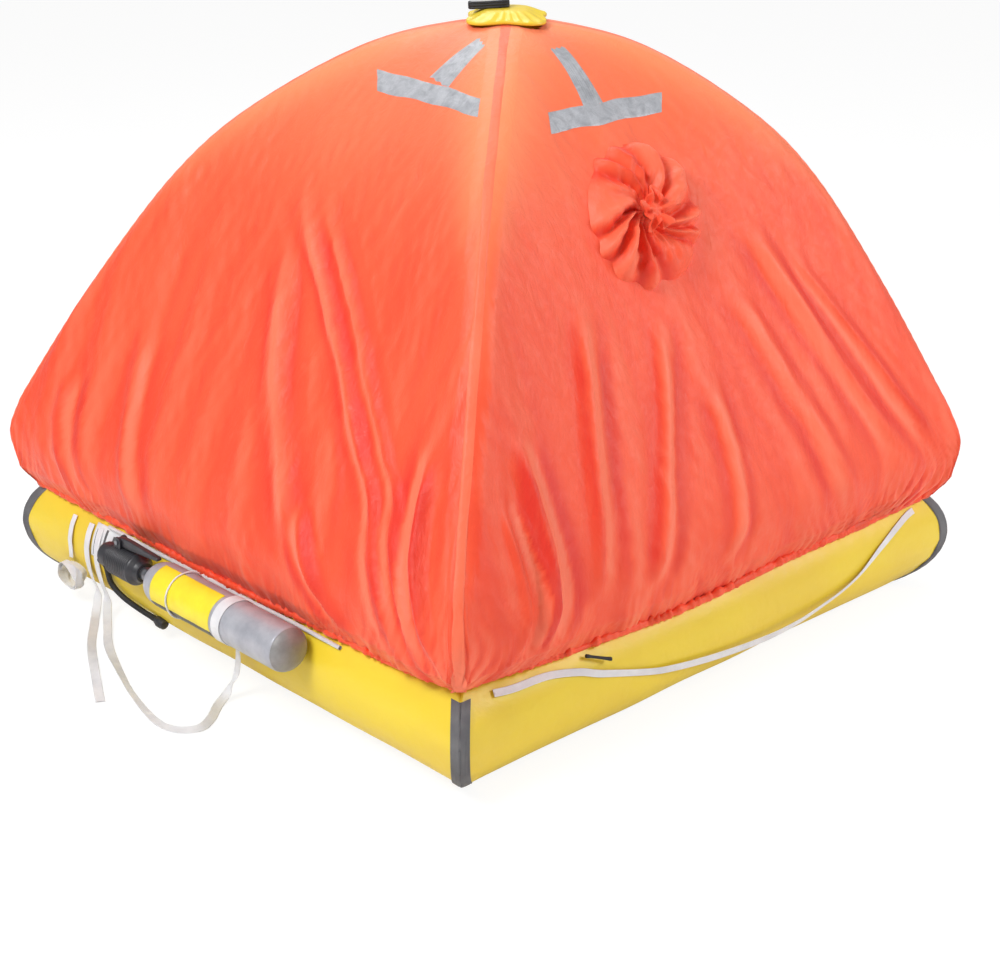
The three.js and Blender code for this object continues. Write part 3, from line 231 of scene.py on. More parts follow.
def mark_corners(piece: bpy.types.Object, name: str, values: np.ndarray) -> None:
    """Writes one number for each corner of a piece, which its material reads by name."""
    mark = piece.data.attributes.new(name, "FLOAT", "POINT")
    mark.data.foreach_set("value", values.astype(np.float32))


def make_piece(name: str, points: np.ndarray, uv: np.ndarray | None = None, weld: float = 1e-6,
               outward: bool = False, keep: np.ndarray | None = None) -> bpy.types.Object:
    """Makes a mesh piece of a grid of points, welded where its edges meet.

    Args:
        name: name of the piece.
        points: grid of points, rows by columns by three.
        uv: map coordinates in metres on the same grid, or None for none.
        weld: distance under which corners are joined.
        outward: whether the faces of a closed piece are turned outwards afterwards.
        keep: which of the grid's cells are kept, or None for all.

    Returns:
        The object, linked to the scene, at the origin.
    """
    rows, cols = points.shape[:2]
    index = np.arange(rows * cols).reshape(rows, cols)
    quads = np.stack([index[:-1, :-1], index[:-1, 1:], index[1:, 1:], index[1:, :-1]], axis=-1)
    quads = quads.reshape(-1, 4) if keep is None else quads.reshape(-1, 4)[keep.ravel()]
    mesh = bpy.data.meshes.new(name)
    mesh.vertices.add(rows * cols)
    mesh.vertices.foreach_set("co", np.ascontiguousarray(points, dtype=np.float32).ravel())
    mesh.loops.add(quads.size)
    mesh.loops.foreach_set("vertex_index", quads.ravel().astype(np.int32))
    mesh.polygons.add(len(quads))
    mesh.polygons.foreach_set("loop_start", np.arange(0, quads.size, 4, dtype=np.int32))
    mesh.update(calc_edges=True)
    if uv is not None:
        layer = mesh.uv_layers.new(name="UVMap")
        layer.data.foreach_set("uv", uv.reshape(-1, 2)[quads.ravel()].astype(np.float32).ravel())
    weld_mesh(mesh, weld, outward)
    mesh.shade_smooth()
    piece = bpy.data.objects.new(name, mesh)
    bpy.context.scene.collection.objects.link(piece)
    return piece


def join(name: str, pieces: list[bpy.types.Object]) -> bpy.types.Object:
    """Joins several mesh pieces into one under a new name.

    Args:
        name: name of the result.
        pieces: the pieces, of which the first stays.

    Returns:
        The joined piece.
    """
    bpy.ops.object.select_all(action="DESELECT")
    for piece in pieces:
        piece.select_set(True)
    bpy.context.view_layer.objects.active = pieces[0]
    bpy.ops.object.join()
    pieces[0].name = name
    pieces[0].data.name = name
    return pieces[0]


def lathe(name: str, profile: list[tuple[float, float]], start: np.ndarray, axis: np.ndarray,
          segments: int = 64, sharp: float = 0.0) -> bpy.types.Object:
    """Turned piece: a profile of radius against distance carried round an axis.

    Args:
        name: name of the piece.
        profile: radius and distance along the axis, from one end on the axis to the other.
        start: point on the axis from which distances are measured.
        axis: direction of the axis.
        segments: how many columns go round.
        sharp: how much each corner of the profile is rounded, in metres.

    Returns:
        The piece, closed, with its map coordinates round and along it.
    """
    line = np.array(profile, float)
    if sharp > 0.0:
        before, here, after = line[:-2], line[1:-1], line[2:]
        a, b = (here + unit(end - here) * np.minimum(sharp, np.linalg.norm(end - here, axis=1)[:, None] / 2.2)
                for end in (before, after))
        middle = (a + b) / 4 + here / 2
        line = np.vstack([line[:1], np.stack([a, middle, b], axis=1).reshape(-1, 2), line[-1:]])
    axis = unit(np.asarray(axis, float))
    helper = Z_AXIS if abs(axis[2]) < 0.9 else X_AXIS
    side = unit(np.cross(axis, helper))
    other = np.cross(axis, side)
    turn = np.linspace(0.0, TAU, segments + 1)
    ring = np.cos(turn)[:, None] * side + np.sin(turn)[:, None] * other
    points = np.asarray(start) + line[:, None, 1:] * axis + line[:, :1, None] * ring
    uv = pair(turn[None, :] * 0.05, line[:, 1:])
    return make_piece(name, points, uv, outward=True)


def sweep(name: str, path: np.ndarray, section: np.ndarray, normals: np.ndarray,
          scale: np.ndarray | None = None) -> bpy.types.Object:
    """Closed piece: a section carried along a path, with its ends closed.

    Each section stands across the path: its first axis lies across both the path and the given
    normal, and its second axis lies near the normal.

    Args:
        name: name of the piece.
        path: points of the middle line.
        section: closed outline in the section's two axes, without a repeat of its first point.
        normals: for each point of the path, the direction that the second axis keeps near.
        scale: factor of the section at each point, or None for one throughout.

    Returns:
        The piece, with map coordinates round it and along it.
    """
    tangent = unit(np.gradient(path, axis=0))
    across = unit(np.cross(tangent, normals))
    up = np.cross(across, tangent)
    ring = np.vstack([section, section[:1]])
    factor = np.ones(len(path)) if scale is None else scale
    body = path[:, None, :] + factor[:, None, None] * (
        ring[None, :, :1] * across[:, None, :] + ring[None, :, 1:] * up[:, None, :])
    ends = [np.repeat(path[k:k + 1, None, :], len(ring), axis=1) for k in (0, -1)]
    points = np.concatenate([ends[0], body, ends[1]])
    run = np.concatenate([[0.0], np.cumsum(np.linalg.norm(np.diff(path, axis=0), axis=1))])
    run = np.concatenate([run[:1], run, run[-1:]])
    around = np.concatenate([[0.0], np.cumsum(np.linalg.norm(np.diff(ring, axis=0), axis=1))])
    uv = pair(around[None, :], run[:, None])
    return make_piece(name, points, uv, outward=True)


def round_section(radius: float, sides: int) -> np.ndarray:
    """Outline of a round section: cosine and sine of equal turns, times the radius."""
    turn = np.arange(sides) * TAU / sides
    return radius * np.stack([np.cos(turn), np.sin(turn)], axis=1)


def flat_section(width: float, thickness: float) -> np.ndarray:
    """Outline of a flat webbing: a thin oblong with thicker, rounded selvedges."""
    w, t = width / 2, thickness / 2
    upper = [(-w, 0.0), (-w + t, t), (-w + 3 * t, 0.8 * t), (0.0, 0.85 * t), (w - 3 * t, 0.8 * t),
             (w - t, t)]
    lower = [(w, 0.0), (w - t, -t), (w - 3 * t, -0.8 * t), (0.0, -0.85 * t), (-w + 3 * t, -0.8 * t),
             (-w + t, -t)]
    return np.array(upper + lower)


def settle_piece(piece: bpy.types.Object, finish: "Finish", slot: Slot, *nodes: str,
                 body: str = BODY) -> bpy.types.Object:
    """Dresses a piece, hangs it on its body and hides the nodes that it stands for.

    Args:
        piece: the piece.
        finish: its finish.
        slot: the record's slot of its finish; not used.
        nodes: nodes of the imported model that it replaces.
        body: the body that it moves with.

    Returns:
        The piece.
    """
    piece.data.materials.clear()
    piece.data.materials.append(finish.material())
    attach(piece, body)
    if nodes:
        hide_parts(*nodes)
    LOG.info("%s: %d faces", piece.name, len(piece.data.polygons))
    return piece


# Finishes ------------------------------------------------------------------------------------


def linear(rgb: tuple[int, int, int]) -> tuple[float, float, float, float]:
    """Colour of 0 to 255 as seen on a screen, turned into linear light."""
    share = [c / 255 for c in rgb]
    value = [c / 12.92 if c <= 0.04045 else ((c + 0.055) / 1.055) ** 2.4 for c in share]
    return (*value, 1.0)


class Shader:
    """Writes the nodes of one material."""

    def __init__(self, name: str) -> None:
        """Starts an empty material with a surface shader and an output.

        Args:
            name: name of the material.
        """
        self.material = bpy.data.materials.new(name)
        self.material.use_nodes = True
        self.tree = self.material.node_tree
        self.tree.nodes.clear()
        self.surface = self.tree.nodes.new("ShaderNodeBsdfPrincipled")
        self.output = self.tree.nodes.new("ShaderNodeOutputMaterial")
        self.tree.links.new(self.surface.outputs[0], self.output.inputs["Surface"])

    def node(self, kind: str, inputs: dict | None = None, **settings) -> bpy.types.Node:
        """Adds a node, sets its options, and sets or links its inputs.

        Args:
            kind: the node's type.
            inputs: a value or an output for each input, by name or number.
            settings: options of the node.

        Returns:
            The node.
        """
        new = self.tree.nodes.new(kind)
        for key, value in settings.items():
            setattr(new, key, value)
        for key, value in (inputs or {}).items():
            if isinstance(value, bpy.types.NodeSocket):
                self.tree.links.new(value, new.inputs[key])
            else:
                new.inputs[key].default_value = value
        return new

    def set(self, **values) -> None:
        """Sets or links inputs of the surface shader; underscores stand for spaces."""
        for key, value in values.items():
            target = self.surface.inputs[key.replace("_", " ")]
            if isinstance(value, bpy.types.NodeSocket):
                self.tree.links.new(value, target)
            else:
                target.default_value = value

    def place(self, scale: tuple[float, float, float] = (1.0, 1.0, 1.0),
              uv: bool = False) -> bpy.types.NodeSocket:
        """Coordinates of the piece, stretched by a scale: its own place, or its map."""
        source = self.node("ShaderNodeTexCoord").outputs["UV" if uv else "Object"]
        return self.node("ShaderNodeMapping", {"Vector": source, "Scale": scale}).outputs[0]

    def noise(self, at: bpy.types.NodeSocket, scale: float, detail: float = 3.0, rough: float = 0.5,
              warp: float = 0.0) -> bpy.types.NodeSocket:
        """Cloudy noise of a scale per metre, with finer clouds upon it."""
        inputs = {"Vector": at, "Scale": scale, "Detail": detail, "Roughness": rough, "Distortion": warp}
        return self.node("ShaderNodeTexNoise", inputs).outputs["Fac"]

    def spread(self, value: bpy.types.NodeSocket, low: float, high: float, out_low: float,
               out_high: float) -> bpy.types.NodeSocket:
        """Maps a value from one range to another, kept inside the second."""
        inputs = {"Value": value, "From Min": low, "From Max": high, "To Min": out_low, "To Max": out_high}
        return self.node("ShaderNodeMapRange", inputs).outputs[0]

    def blend(self, share: bpy.types.NodeSocket, a, b) -> bpy.types.NodeSocket:
        """Mixes two colours by a share."""
        mix = self.node("ShaderNodeMix", data_type="RGBA")
        for socket, value in ((mix.inputs[0], share), (mix.inputs[6], a), (mix.inputs[7], b)):
            if isinstance(value, bpy.types.NodeSocket):
                self.tree.links.new(value, socket)
            else:
                socket.default_value = value
        return mix.outputs[2]

    def math(self, operation: str, a, b=0.0) -> bpy.types.NodeSocket:
        """Sum, product or other function of two values."""
        return self.node("ShaderNodeMath", {0: a, 1: b}, operation=operation).outputs[0]

    def relief(self, height: bpy.types.NodeSocket, distance: float,
               below: bpy.types.NodeSocket | None = None) -> bpy.types.NodeSocket:
        """Turns a height into relief, on top of coarser relief if there is some."""
        inputs = {"Height": height, "Distance": distance, "Strength": 1.0}
        if below is not None:
            inputs["Normal"] = below
        return self.node("ShaderNodeBump", inputs).outputs[0]


@dataclass(frozen=True)
class Finish:
    """A finish by its name, colour and roughness; the kinds of finish add their own detail."""

    name: str
    rgb: tuple[int, int, int]
    shade: tuple[int, int, int]
    roughness: float = 0.5

    def material(self) -> bpy.types.Material:
        """The finish's material, made at its first use."""
        known = bpy.data.materials.get(self.name)
        if known is not None:
            return known
        shader = Shader(self.name)
        self.write(shader)
        return shader.material

    def write(self, shader: Shader) -> None:
        """Writes the finish's nodes: clouds of colour, and roughness that follows them."""
        at = shader.place()
        cloud = shader.noise(at, 14.0, 5.0)
        fine = shader.noise(at, 160.0, 2.0)
        share = shader.spread(cloud, 0.35, 0.7, 0.0, 1.0)
        shader.set(Base_Color=shader.blend(share, linear(self.rgb), linear(self.shade)))
        shader.set(Roughness=shader.spread(fine, 0.3, 0.7, self.roughness - 0.05, self.roughness + 0.07))
        shader.set(Normal=shader.relief(fine, 0.0004))


@dataclass(frozen=True)
class CanopyCloth(Finish):
    """Thin coated cloth: crinkles, a fine weave, a paler painted glow of light through the cloth where it
    lies on the arches, and painted highlight and shade on its folds.
    """

    # Painted light: glow is a painted glow of light through the cloth, light a painted highlight on crests,
    # deep painted shade in creases.
    glow: tuple[int, int, int] = (255, 158, 104)
    light: tuple[int, int, int] = (255, 132, 98)
    deep: tuple[int, int, int] = (226, 38, 20)

    def write(self, shader: Shader) -> None:
        """Writes clouds of colour, painted highlight on crests and painted shade in creases, a painted glow
        from its glow mark, and three sizes of relief.
        """
        at = shader.place()
        cloud = shader.noise(at, 2.2, 3.0, 0.55, 0.4)
        crease = shader.noise(shader.place((1.0, 1.0, 0.28)), 16.0, 4.0, 0.6, 1.2)
        crinkle = shader.noise(at, 46.0, 4.0, 0.6, 0.8)
        weave = self.weave(shader, at)
        base = shader.blend(shader.spread(cloud, 0.35, 0.7, 0.0, 1.0), linear(self.rgb), linear(self.shade))
        # Painted highlight and shade: the fold mark paints crests paler and creases deep red.
        fold = shader.node("ShaderNodeAttribute", attribute_name="fold").outputs["Fac"]
        base = shader.blend(shader.spread(fold, 0.0, 1.0, 0.0, 0.62), base, linear(self.light))
        base = shader.blend(shader.spread(fold, 0.0, -1.0, 0.0, 0.85), base, linear(self.deep))
        # Painted highlight: paler colour where the stretched crease noise, and so its relief, stands highest.
        painted_highlight_share = shader.spread(crease, 0.55, 0.78, 0.0, 0.14)
        base = shader.blend(painted_highlight_share, base, linear(self.light))
        # Painted glow: paler colour standing in for light through the cloth over the arches and at the crown.
        glow = shader.node("ShaderNodeAttribute", attribute_name="glow").outputs["Fac"]
        base = shader.blend(glow, base, linear(self.glow))
        shader.set(Base_Color=base)
        shader.set(Roughness=shader.spread(crinkle, 0.3, 0.7, self.roughness - 0.08, self.roughness + 0.08))
        shader.set(Sheen_Weight=0.12, Sheen_Roughness=0.4, Specular_IOR_Level=0.45)
        first = shader.relief(crease, 0.0035)
        second = shader.relief(crinkle, 0.0012, first)
        shader.set(Normal=shader.relief(weave, 0.00012, second))

    @staticmethod
    def weave(shader: Shader, at: bpy.types.NodeSocket) -> bpy.types.NodeSocket:
        """Fine plain weave: two crossed sets of sine bands, multiplied."""
        inputs = {"Vector": at, "Scale": 260.0, "Distortion": 0.3}
        one = shader.node("ShaderNodeTexWave", inputs, bands_direction="DIAGONAL").outputs["Fac"]
        two = shader.node("ShaderNodeTexWave", inputs, bands_direction="Z").outputs["Fac"]
        return shader.math("MULTIPLY", one, two)


@dataclass(frozen=True)
class TubeCloth(Finish):
    """Coated tube fabric: smooth and a little glossy, with clouds, scuffs and fine grain."""

    scuff: tuple[int, int, int] = (214, 176, 62)

    def write(self, shader: Shader) -> None:
        """Writes broad clouds, thin scuffs stretched along the tube, and orange-peel relief."""
        at = shader.place()
        cloud = shader.noise(at, 3.0, 4.0, 0.5, 0.3)
        scuff = shader.noise(shader.place((1.0, 1.0, 5.0)), 9.0, 6.0, 0.7, 0.8)
        grain = shader.noise(at, 420.0, 2.0)
        pucker = shader.noise(at, 24.0, 3.0, 0.5, 0.5)
        base = shader.blend(shader.spread(cloud, 0.35, 0.68, 0.0, 1.0), linear(self.rgb), linear(self.shade))
        base = shader.blend(shader.spread(scuff, 0.64, 0.8, 0.0, 0.35), base, linear(self.scuff))
        shader.set(Base_Color=base)
        shader.set(Roughness=shader.spread(scuff, 0.3, 0.75, self.roughness - 0.05, self.roughness + 0.15))
        shader.set(Coat_Weight=0.08, Coat_Roughness=0.35, Specular_IOR_Level=0.5)
        shader.set(Normal=shader.relief(grain, 0.00025, shader.relief(pucker, 0.0016)))


@dataclass(frozen=True)
class Webbing(Finish):
    """Woven webbing or cord: ribs across it, herringbone along it, and a few grey marks."""

    ribs: float = 420.0

    def write(self, shader: Shader) -> None:
        """Writes ribs along the piece's map, clouds of grey on its colour, and painted shade in the weave's
        hollows.
        """
        at = shader.place(uv=True)
        inputs = {"Vector": at, "Scale": self.ribs / 3.2, "Distortion": 0.4}
        rib = shader.node("ShaderNodeTexWave", inputs, bands_direction="DIAGONAL").outputs["Fac"]
        cross = shader.node("ShaderNodeTexWave", inputs, bands_direction="X").outputs["Fac"]
        cloud = shader.noise(shader.place(), 12.0, 5.0, 0.6)
        weave = shader.math("MULTIPLY", rib, cross)
        base = shader.blend(shader.spread(cloud, 0.4, 0.75, 0.0, 1.0), linear(self.rgb), linear(self.shade))
        # Painted shade: the colour darkens toward grey where the weave's relief is low.
        base = shader.blend(shader.spread(weave, 0.0, 0.5, 0.35, 0.0), base, linear(self.shade))
        shader.set(Base_Color=base, Roughness=self.roughness, Sheen_Weight=0.2)
        shader.set(Normal=shader.relief(weave, 0.0005))


@dataclass(frozen=True)
class ReflectiveTape(Finish):
    """Reflective tape: light grey with fine cells, slightly crinkled, with a dull edge."""

    cells: float = 210.0

    def write(self, shader: Shader) -> None:
        """Writes small cells from a cell pattern, crinkles, and clouds of wear."""
        at = shader.place()
        cell = shader.node("ShaderNodeTexVoronoi", {"Vector": at, "Scale": self.cells},
                           feature="DISTANCE_TO_EDGE").outputs["Distance"]
        wall = shader.spread(cell, 0.0, 0.12, 1.0, 0.0)
        wear = shader.noise(at, 30.0, 5.0, 0.65, 0.6)
        base = shader.blend(shader.spread(wear, 0.4, 0.7, 0.0, 1.0), linear(self.rgb), linear(self.shade))
        base = shader.blend(shader.math("MULTIPLY", wall, 0.35), base, linear(self.shade))
        shader.set(Base_Color=base, Metallic=0.15)
        shader.set(Roughness=shader.spread(wear, 0.3, 0.7, self.roughness - 0.08, self.roughness + 0.12))
        shader.set(Normal=shader.relief(wall, 0.0001, shader.relief(wear, 0.0025)))


@dataclass(frozen=True)
class Painted(Finish):
    """Paint or bare metal: faint clouds, hairline scratches and a satin gloss."""

    metallic: float = 0.0
    coat: float = 0.2

    def write(self, shader: Shader) -> None:
        """Writes clouds, fine scratches stretched along the piece, and their gloss."""
        at = shader.place()
        cloud = shader.noise(at, 22.0, 5.0, 0.6)
        scratch = shader.noise(shader.place((30.0, 2.0, 30.0)), 12.0, 4.0, 0.7)
        share = shader.spread(cloud, 0.35, 0.7, 0.0, 1.0)
        base = shader.blend(share, linear(self.rgb), linear(self.shade))
        shader.set(Base_Color=base, Metallic=self.metallic, Coat_Weight=self.coat, Coat_Roughness=0.25)
        shader.set(Roughness=shader.spread(scratch, 0.3, 0.75, self.roughness - 0.06, self.roughness + 0.12))
        shader.set(Normal=shader.relief(scratch, 0.0001, shader.relief(cloud, 0.0005)))


CLOTH = CanopyCloth("canopy_cloth", (250, 90, 52), (244, 78, 42), 0.5)
SEAM = CanopyCloth("seam_cloth", (255, 128, 92), (250, 106, 70), 0.5)
TUBE = TubeCloth("tube_coating", (240, 212, 52), (234, 202, 58), 0.38)
FLOOR_CLOTH = TubeCloth("floor_coating", (52, 52, 56), (42, 42, 46), 0.55, (84, 84, 88))
CORNER = Finish("corner_tape_cloth", (112, 112, 114), (88, 88, 92), 0.75)
TAPE = ReflectiveTape("reflective_tape", (186, 188, 194), (148, 150, 156), 0.45)
WHITE_WEB = Webbing("white_webbing", (242, 242, 244), (214, 215, 220), 0.75)
WHITE_CORD = Webbing("white_cord", (240, 240, 241), (206, 207, 212), 0.75, 900.0)
BOTTLE_PAINT = Painted("bottle_paint", (188, 190, 198), (164, 166, 176), 0.4, 0.25)
# Darker grey of the bottle's round end: painted shade of its dome.
DOME_PAINTED_SHADE = Painted("bottle_end_painted_shade", (156, 156, 156), (134, 133, 132), 0.45, 0.2)
NECK_METAL = Painted("neck_metal", (150, 152, 158), (118, 120, 126), 0.35, 0.9, 0.0)
BLACK = Painted("black_satin", (52, 52, 58), (34, 34, 38), 0.42)
RUBBER = Painted("black_rubber", (42, 42, 46), (28, 28, 31), 0.6, 0.0, 0.0)
CAP_GREY = Painted("cap_moulding", (96, 96, 98), (76, 76, 79), 0.55)
LABEL = Painted("label_yellow", (250, 232, 44), (242, 220, 40), 0.4)
LABEL_BAND = Painted("label_black", (30, 30, 32), (20, 20, 22), 0.4)
PATCH_WHITE = Painted("patch_white", (232, 234, 236), (212, 214, 218), 0.5)
LAMP_CLEAR = Painted("lamp_cover", (232, 236, 238), (206, 212, 218), 0.12, 0.0, 0.6)


# Camera and light ----------------------------------------------------------------------------


@dataclass
class Studio:
    """Camera at the photograph's viewing angle, soft light, pale floor and white surround."""

    eye: tuple[float, float, float] = (-3.4853, -3.7756, 2.3737)
    target: tuple[float, float, float] = (-0.0098, -0.0823, 0.3135)
    lens: float = 72.98
    floor: float = 14.0
    ambient: float = 0.40
    floor_glow: float = 1.10
    floor_glow_share: float = 0.80

    def camera(self) -> None:
        """Places the camera and makes it the scene's."""
        data = bpy.data.cameras.new("studio_camera")
        data.lens = self.lens
        data.sensor_width = 36.0
        data.clip_end = 100.0
        camera = bpy.data.objects.new("studio_camera", data)
        bpy.context.scene.collection.objects.link(camera)
        camera.location = self.eye
        aim = Vector(self.target) - Vector(self.eye)
        camera.rotation_euler = aim.to_track_quat("-Z", "Y").to_euler()
        bpy.context.scene.camera = camera

    def lamp(self, name: str, eye: tuple[float, float, float], size: float, power: float) -> None:
        """Adds one soft lamp that faces the canopy.

        Args:
            name: name of the lamp.
            eye: where it stands.
            size: side of its square face.
            power: its power in watts.
        """
        data = bpy.data.lights.new(name, "AREA")
        data.shape = "SQUARE"
        data.size = size
        data.energy = power
        lamp = bpy.data.objects.new(name, data)
        bpy.context.scene.collection.objects.link(lamp)
        lamp.location = eye
        aim = Vector((0.0, 0.0, 0.7)) - Vector(eye)
        lamp.rotation_euler = aim.to_track_quat("-Z", "Y").to_euler()

    def surround(self) -> None:
        """World that lights evenly and shows white to the camera and through glass."""
        world = bpy.data.worlds.new("surround")
        world.use_nodes = True
        bpy.context.scene.world = world
        tree = world.node_tree
        tree.nodes.clear()
        path = tree.nodes.new("ShaderNodeLightPath")
        seen = tree.nodes.new("ShaderNodeMath")
        seen.operation = "MAXIMUM"
        tree.links.new(path.outputs["Is Camera Ray"], seen.inputs[0])
        tree.links.new(path.outputs["Is Transmission Ray"], seen.inputs[1])
        light = tree.nodes.new("ShaderNodeBackground")
        light.inputs["Color"].default_value = (1.0, 0.99, 0.98, 1.0)
        light.inputs["Strength"].default_value = self.ambient
        white = tree.nodes.new("ShaderNodeBackground")
        white.inputs["Color"].default_value = (1.0, 1.0, 1.0, 1.0)
        mix = tree.nodes.new("ShaderNodeMixShader")
        out = tree.nodes.new("ShaderNodeOutputWorld")
        tree.links.new(seen.outputs[0], mix.inputs[0])
        tree.links.new(light.outputs[0], mix.inputs[1])
        tree.links.new(white.outputs[0], mix.inputs[2])
        tree.links.new(mix.outputs[0], out.inputs["Surface"])

    def ground(self) -> None:
        """Pale floor that the camera sees nearly white, with the object's soft shadow kept."""
        edge = np.linspace(-self.floor, self.floor, 3)
        x, y = np.meshgrid(edge, edge)
        piece = make_piece("studio_floor", np.stack([x, y, np.full_like(x, -0.0008)], axis=-1))
        shader = Shader("studio_floor_paint")
        shader.set(Base_Color=(0.93, 0.93, 0.93, 1.0), Roughness=0.9, Specular_IOR_Level=0.1)
        glow = shader.node("ShaderNodeEmission", {"Color": (1.0, 1.0, 1.0, 1.0), "Strength": self.floor_glow})
        path = shader.node("ShaderNodeLightPath")
        share = shader.math("MULTIPLY", path.outputs["Is Camera Ray"], self.floor_glow_share)
        mix = shader.node("ShaderNodeMixShader", {0: share, 1: shader.surface.outputs[0], 2: glow.outputs[0]})
        shader.tree.links.new(mix.outputs[0], shader.output.inputs["Surface"])
        piece.data.materials.append(shader.material)

    def build(self) -> None:
        """Builds the whole studio."""
        self.camera()
        self.surround()
        self.ground()
        self.lamp("key_lamp", (-4.4, -0.4, 4.8), 2.0, 235.0)
        self.lamp("fill_lamp", (3.4, -4.6, 3.2), 2.2, 150.0)
        self.lamp("back_lamp", (1.6, 3.0, 5.6), 2.4, 110.0)
        view = bpy.context.scene.view_settings
        view.view_transform = "Standard"


# Webbing and cords ---------------------------------------------------------------------------


@dataclass
class Rigging:
    """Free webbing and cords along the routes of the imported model."""

    thickness: float = 0.0016
    sink: float = 0.0046
    lowest: float = 0.0013
    grab: list = field(default_factory=lambda: [
        (-0.770, -0.8725, 0.2560), (-0.715, -0.878, 0.250), (-0.610, -0.8815, 0.245),
        (-0.520, -0.893, 0.226),
        (-0.440, -0.904, 0.196), (-0.262, -0.911, 0.143), (-0.047, -0.910, 0.104), (0.180, -0.909, 0.089),
        (0.378, -0.910, 0.111), (0.498, -0.911, 0.143), (0.600, -0.904, 0.195), (0.680, -0.892, 0.227),
        (0.740, -0.8815, 0.245), (0.775, -0.8768, 0.2492)])
    operating: list = field(default_factory=lambda: [
        (-0.8804, 0.536, 0.2424), (-0.896, 0.532, 0.217), (-0.908, 0.529, 0.180), (-0.909, 0.526, 0.135),
        (-0.903, 0.520, 0.090), (-0.896, 0.508, 0.045), (-0.915, 0.480, 0.014), (-0.950, 0.425, 0.0066),
        (-0.999, 0.345, 0.0066), (-1.055, 0.215, 0.0066), (-1.104, 0.081, 0.0066), (-1.136, -0.060, 0.0066),
        (-1.128, -0.140, 0.0066), (-1.085, -0.176, 0.0066), (-1.040, -0.160, 0.0066),
        (-0.985, -0.115, 0.0066),
        (-0.945, -0.098, 0.022), (-0.927, -0.108, 0.068), (-0.934, -0.130, 0.118), (-0.943, -0.145, 0.163)])
    tail: list = field(default_factory=lambda: [
        (-0.8804, 0.580, 0.2424), (-0.896, 0.578, 0.217), (-0.908, 0.575, 0.180), (-0.909, 0.572, 0.135),
        (-0.903, 0.566, 0.090), (-0.894, 0.556, 0.045), (-0.920, 0.528, 0.012), (-0.965, 0.468, 0.0066),
        (-1.030, 0.378, 0.0066), (-1.100, 0.255, 0.0066), (-1.180, 0.105, 0.0066)])
    hank: list = field(default_factory=lambda: [
        (-0.8804, 0.662, 0.2424), (-0.8955, 0.661, 0.2165), (-0.906, 0.660, 0.180), (-0.908, 0.657, 0.150),
        (-0.911, 0.653, 0.126)])

    @staticmethod
    def outward(path: np.ndarray, lift: float) -> np.ndarray:
        """Outward directions of what each point lies on: the tube's, turning to straight up.

        Args:
            path: points of the route.
            lift: height under which the route lies on the floor.

        Returns:
            One direction for each point.
        """
        flat = np.maximum(np.abs(path[:, :2]) - LOWER_MID, 0.0) * np.sign(path[:, :2])
        tube = np.stack([flat[:, 0], flat[:, 1], path[:, 2] - LOWER_R], axis=1)
        away = np.linalg.norm(tube, axis=1)
        on_tube = (1.0 - smooth(away, LOWER_R + 0.02, LOWER_R + 0.07))[:, None]
        on_tube = on_tube * smooth(path[:, 2], lift, lift + 0.05)[:, None]
        return unit(on_tube * unit(tube) + (1.0 - on_tube) * Z_AXIS + 1e-6)

    def ribbon(self, name: str, route: list, exit_at: int, far_end: str, lay: str, *nodes: str,
               twist: float = 0.0, width: float = 0.024, pieces: tuple = ()) -> bpy.types.Object:
        """Flat webbing along a route: it lies on the tube and the floor, and twists in between.

        Args:
            name: name of the piece.
            route: points of the route.
            exit_at: which end leaves the object: 0 or -1; not used.
            far_end: what the other end is; not used.
            lay: how it lies; not used.
            nodes: nodes that it replaces.
            twist: largest turn about its own line, in radians.
            width: its width.
            pieces: separate pieces on it; not used.

        Returns:
            The piece.
        """
        path = catmull(np.array(route), max(60, int(400 * len(route) / 14)))
        out = self.outward(path, 0.03)
        path = path - out * self.sink
        path[:, 2] = np.maximum(path[:, 2], self.lowest)
        run = np.linspace(0.0, 1.0, len(path))
        turn = twist * np.sin(TAU * 1.5 * run) * smooth(run, 0.12, 0.3) * (1.0 - smooth(run, 0.8, 0.95))
        tangent = unit(np.gradient(path, axis=0))
        side = unit(np.cross(tangent, out))
        normal = np.cos(turn)[:, None] * np.cross(side, tangent) + np.sin(turn)[:, None] * side
        path[:, 2] += np.abs(np.sin(turn)) * width / 2
        piece = sweep(name, path, flat_section(width, self.thickness), normal)
        settle_piece(piece, WHITE_WEB, Slot.WEBBING, *nodes)
        return piece

    def knot(self) -> bpy.types.Object:
        """Hank of spare webbing: three flat loops of one ribbon, pinched where they are tied."""
        turn = np.linspace(0.0, 3 * TAU, 220)
        reach = 1.0 - 0.14 * np.cos(2 * turn) + 0.05 * np.sin(turn * 1.37)
        wide = 0.050 * reach * np.cos(turn + 0.25 * np.sin(turn / 3))
        tall = 0.030 * reach * np.sin(turn)
        deep = 0.009 * np.sin(turn / 3 + 0.4) + 0.004 * np.cos(2.3 * turn)
        path = np.stack([-0.9120 + deep, 0.648 + wide, 0.078 + tall], axis=1)
        middle = np.stack([0.9 * deep, wide, tall], axis=1)
        piece = sweep("webbing_hank_loops", path, flat_section(0.020, 0.0016), unit(middle))
        return settle_piece(piece, WHITE_WEB, Slot.WEBBING, "webbing_hank")

    def hem_cord(self) -> bpy.types.Object:
        """Cord along the hem: a straight round cord on the tube's shoulder, with a slight snake."""
        angle = math.radians(37.0)
        y = np.linspace(0.500, -0.460, 120)
        away = LOWER_R + 0.0073 + 0.0012 * np.sin(y * 31.0)
        path = np.stack([-(LOWER_MID + away * math.cos(angle)), y, LOWER_R + away * math.sin(angle)], axis=1)
        path[:, 2] += 0.0012 * np.sin(y * 17.0)
        up = np.tile(Z_AXIS, (len(path), 1))
        piece = sweep("hem_draw_cord", path, round_section(0.0052, 14), up)
        settle_piece(piece, WHITE_CORD, Slot.WEBBING, "hem_cord")
        return piece

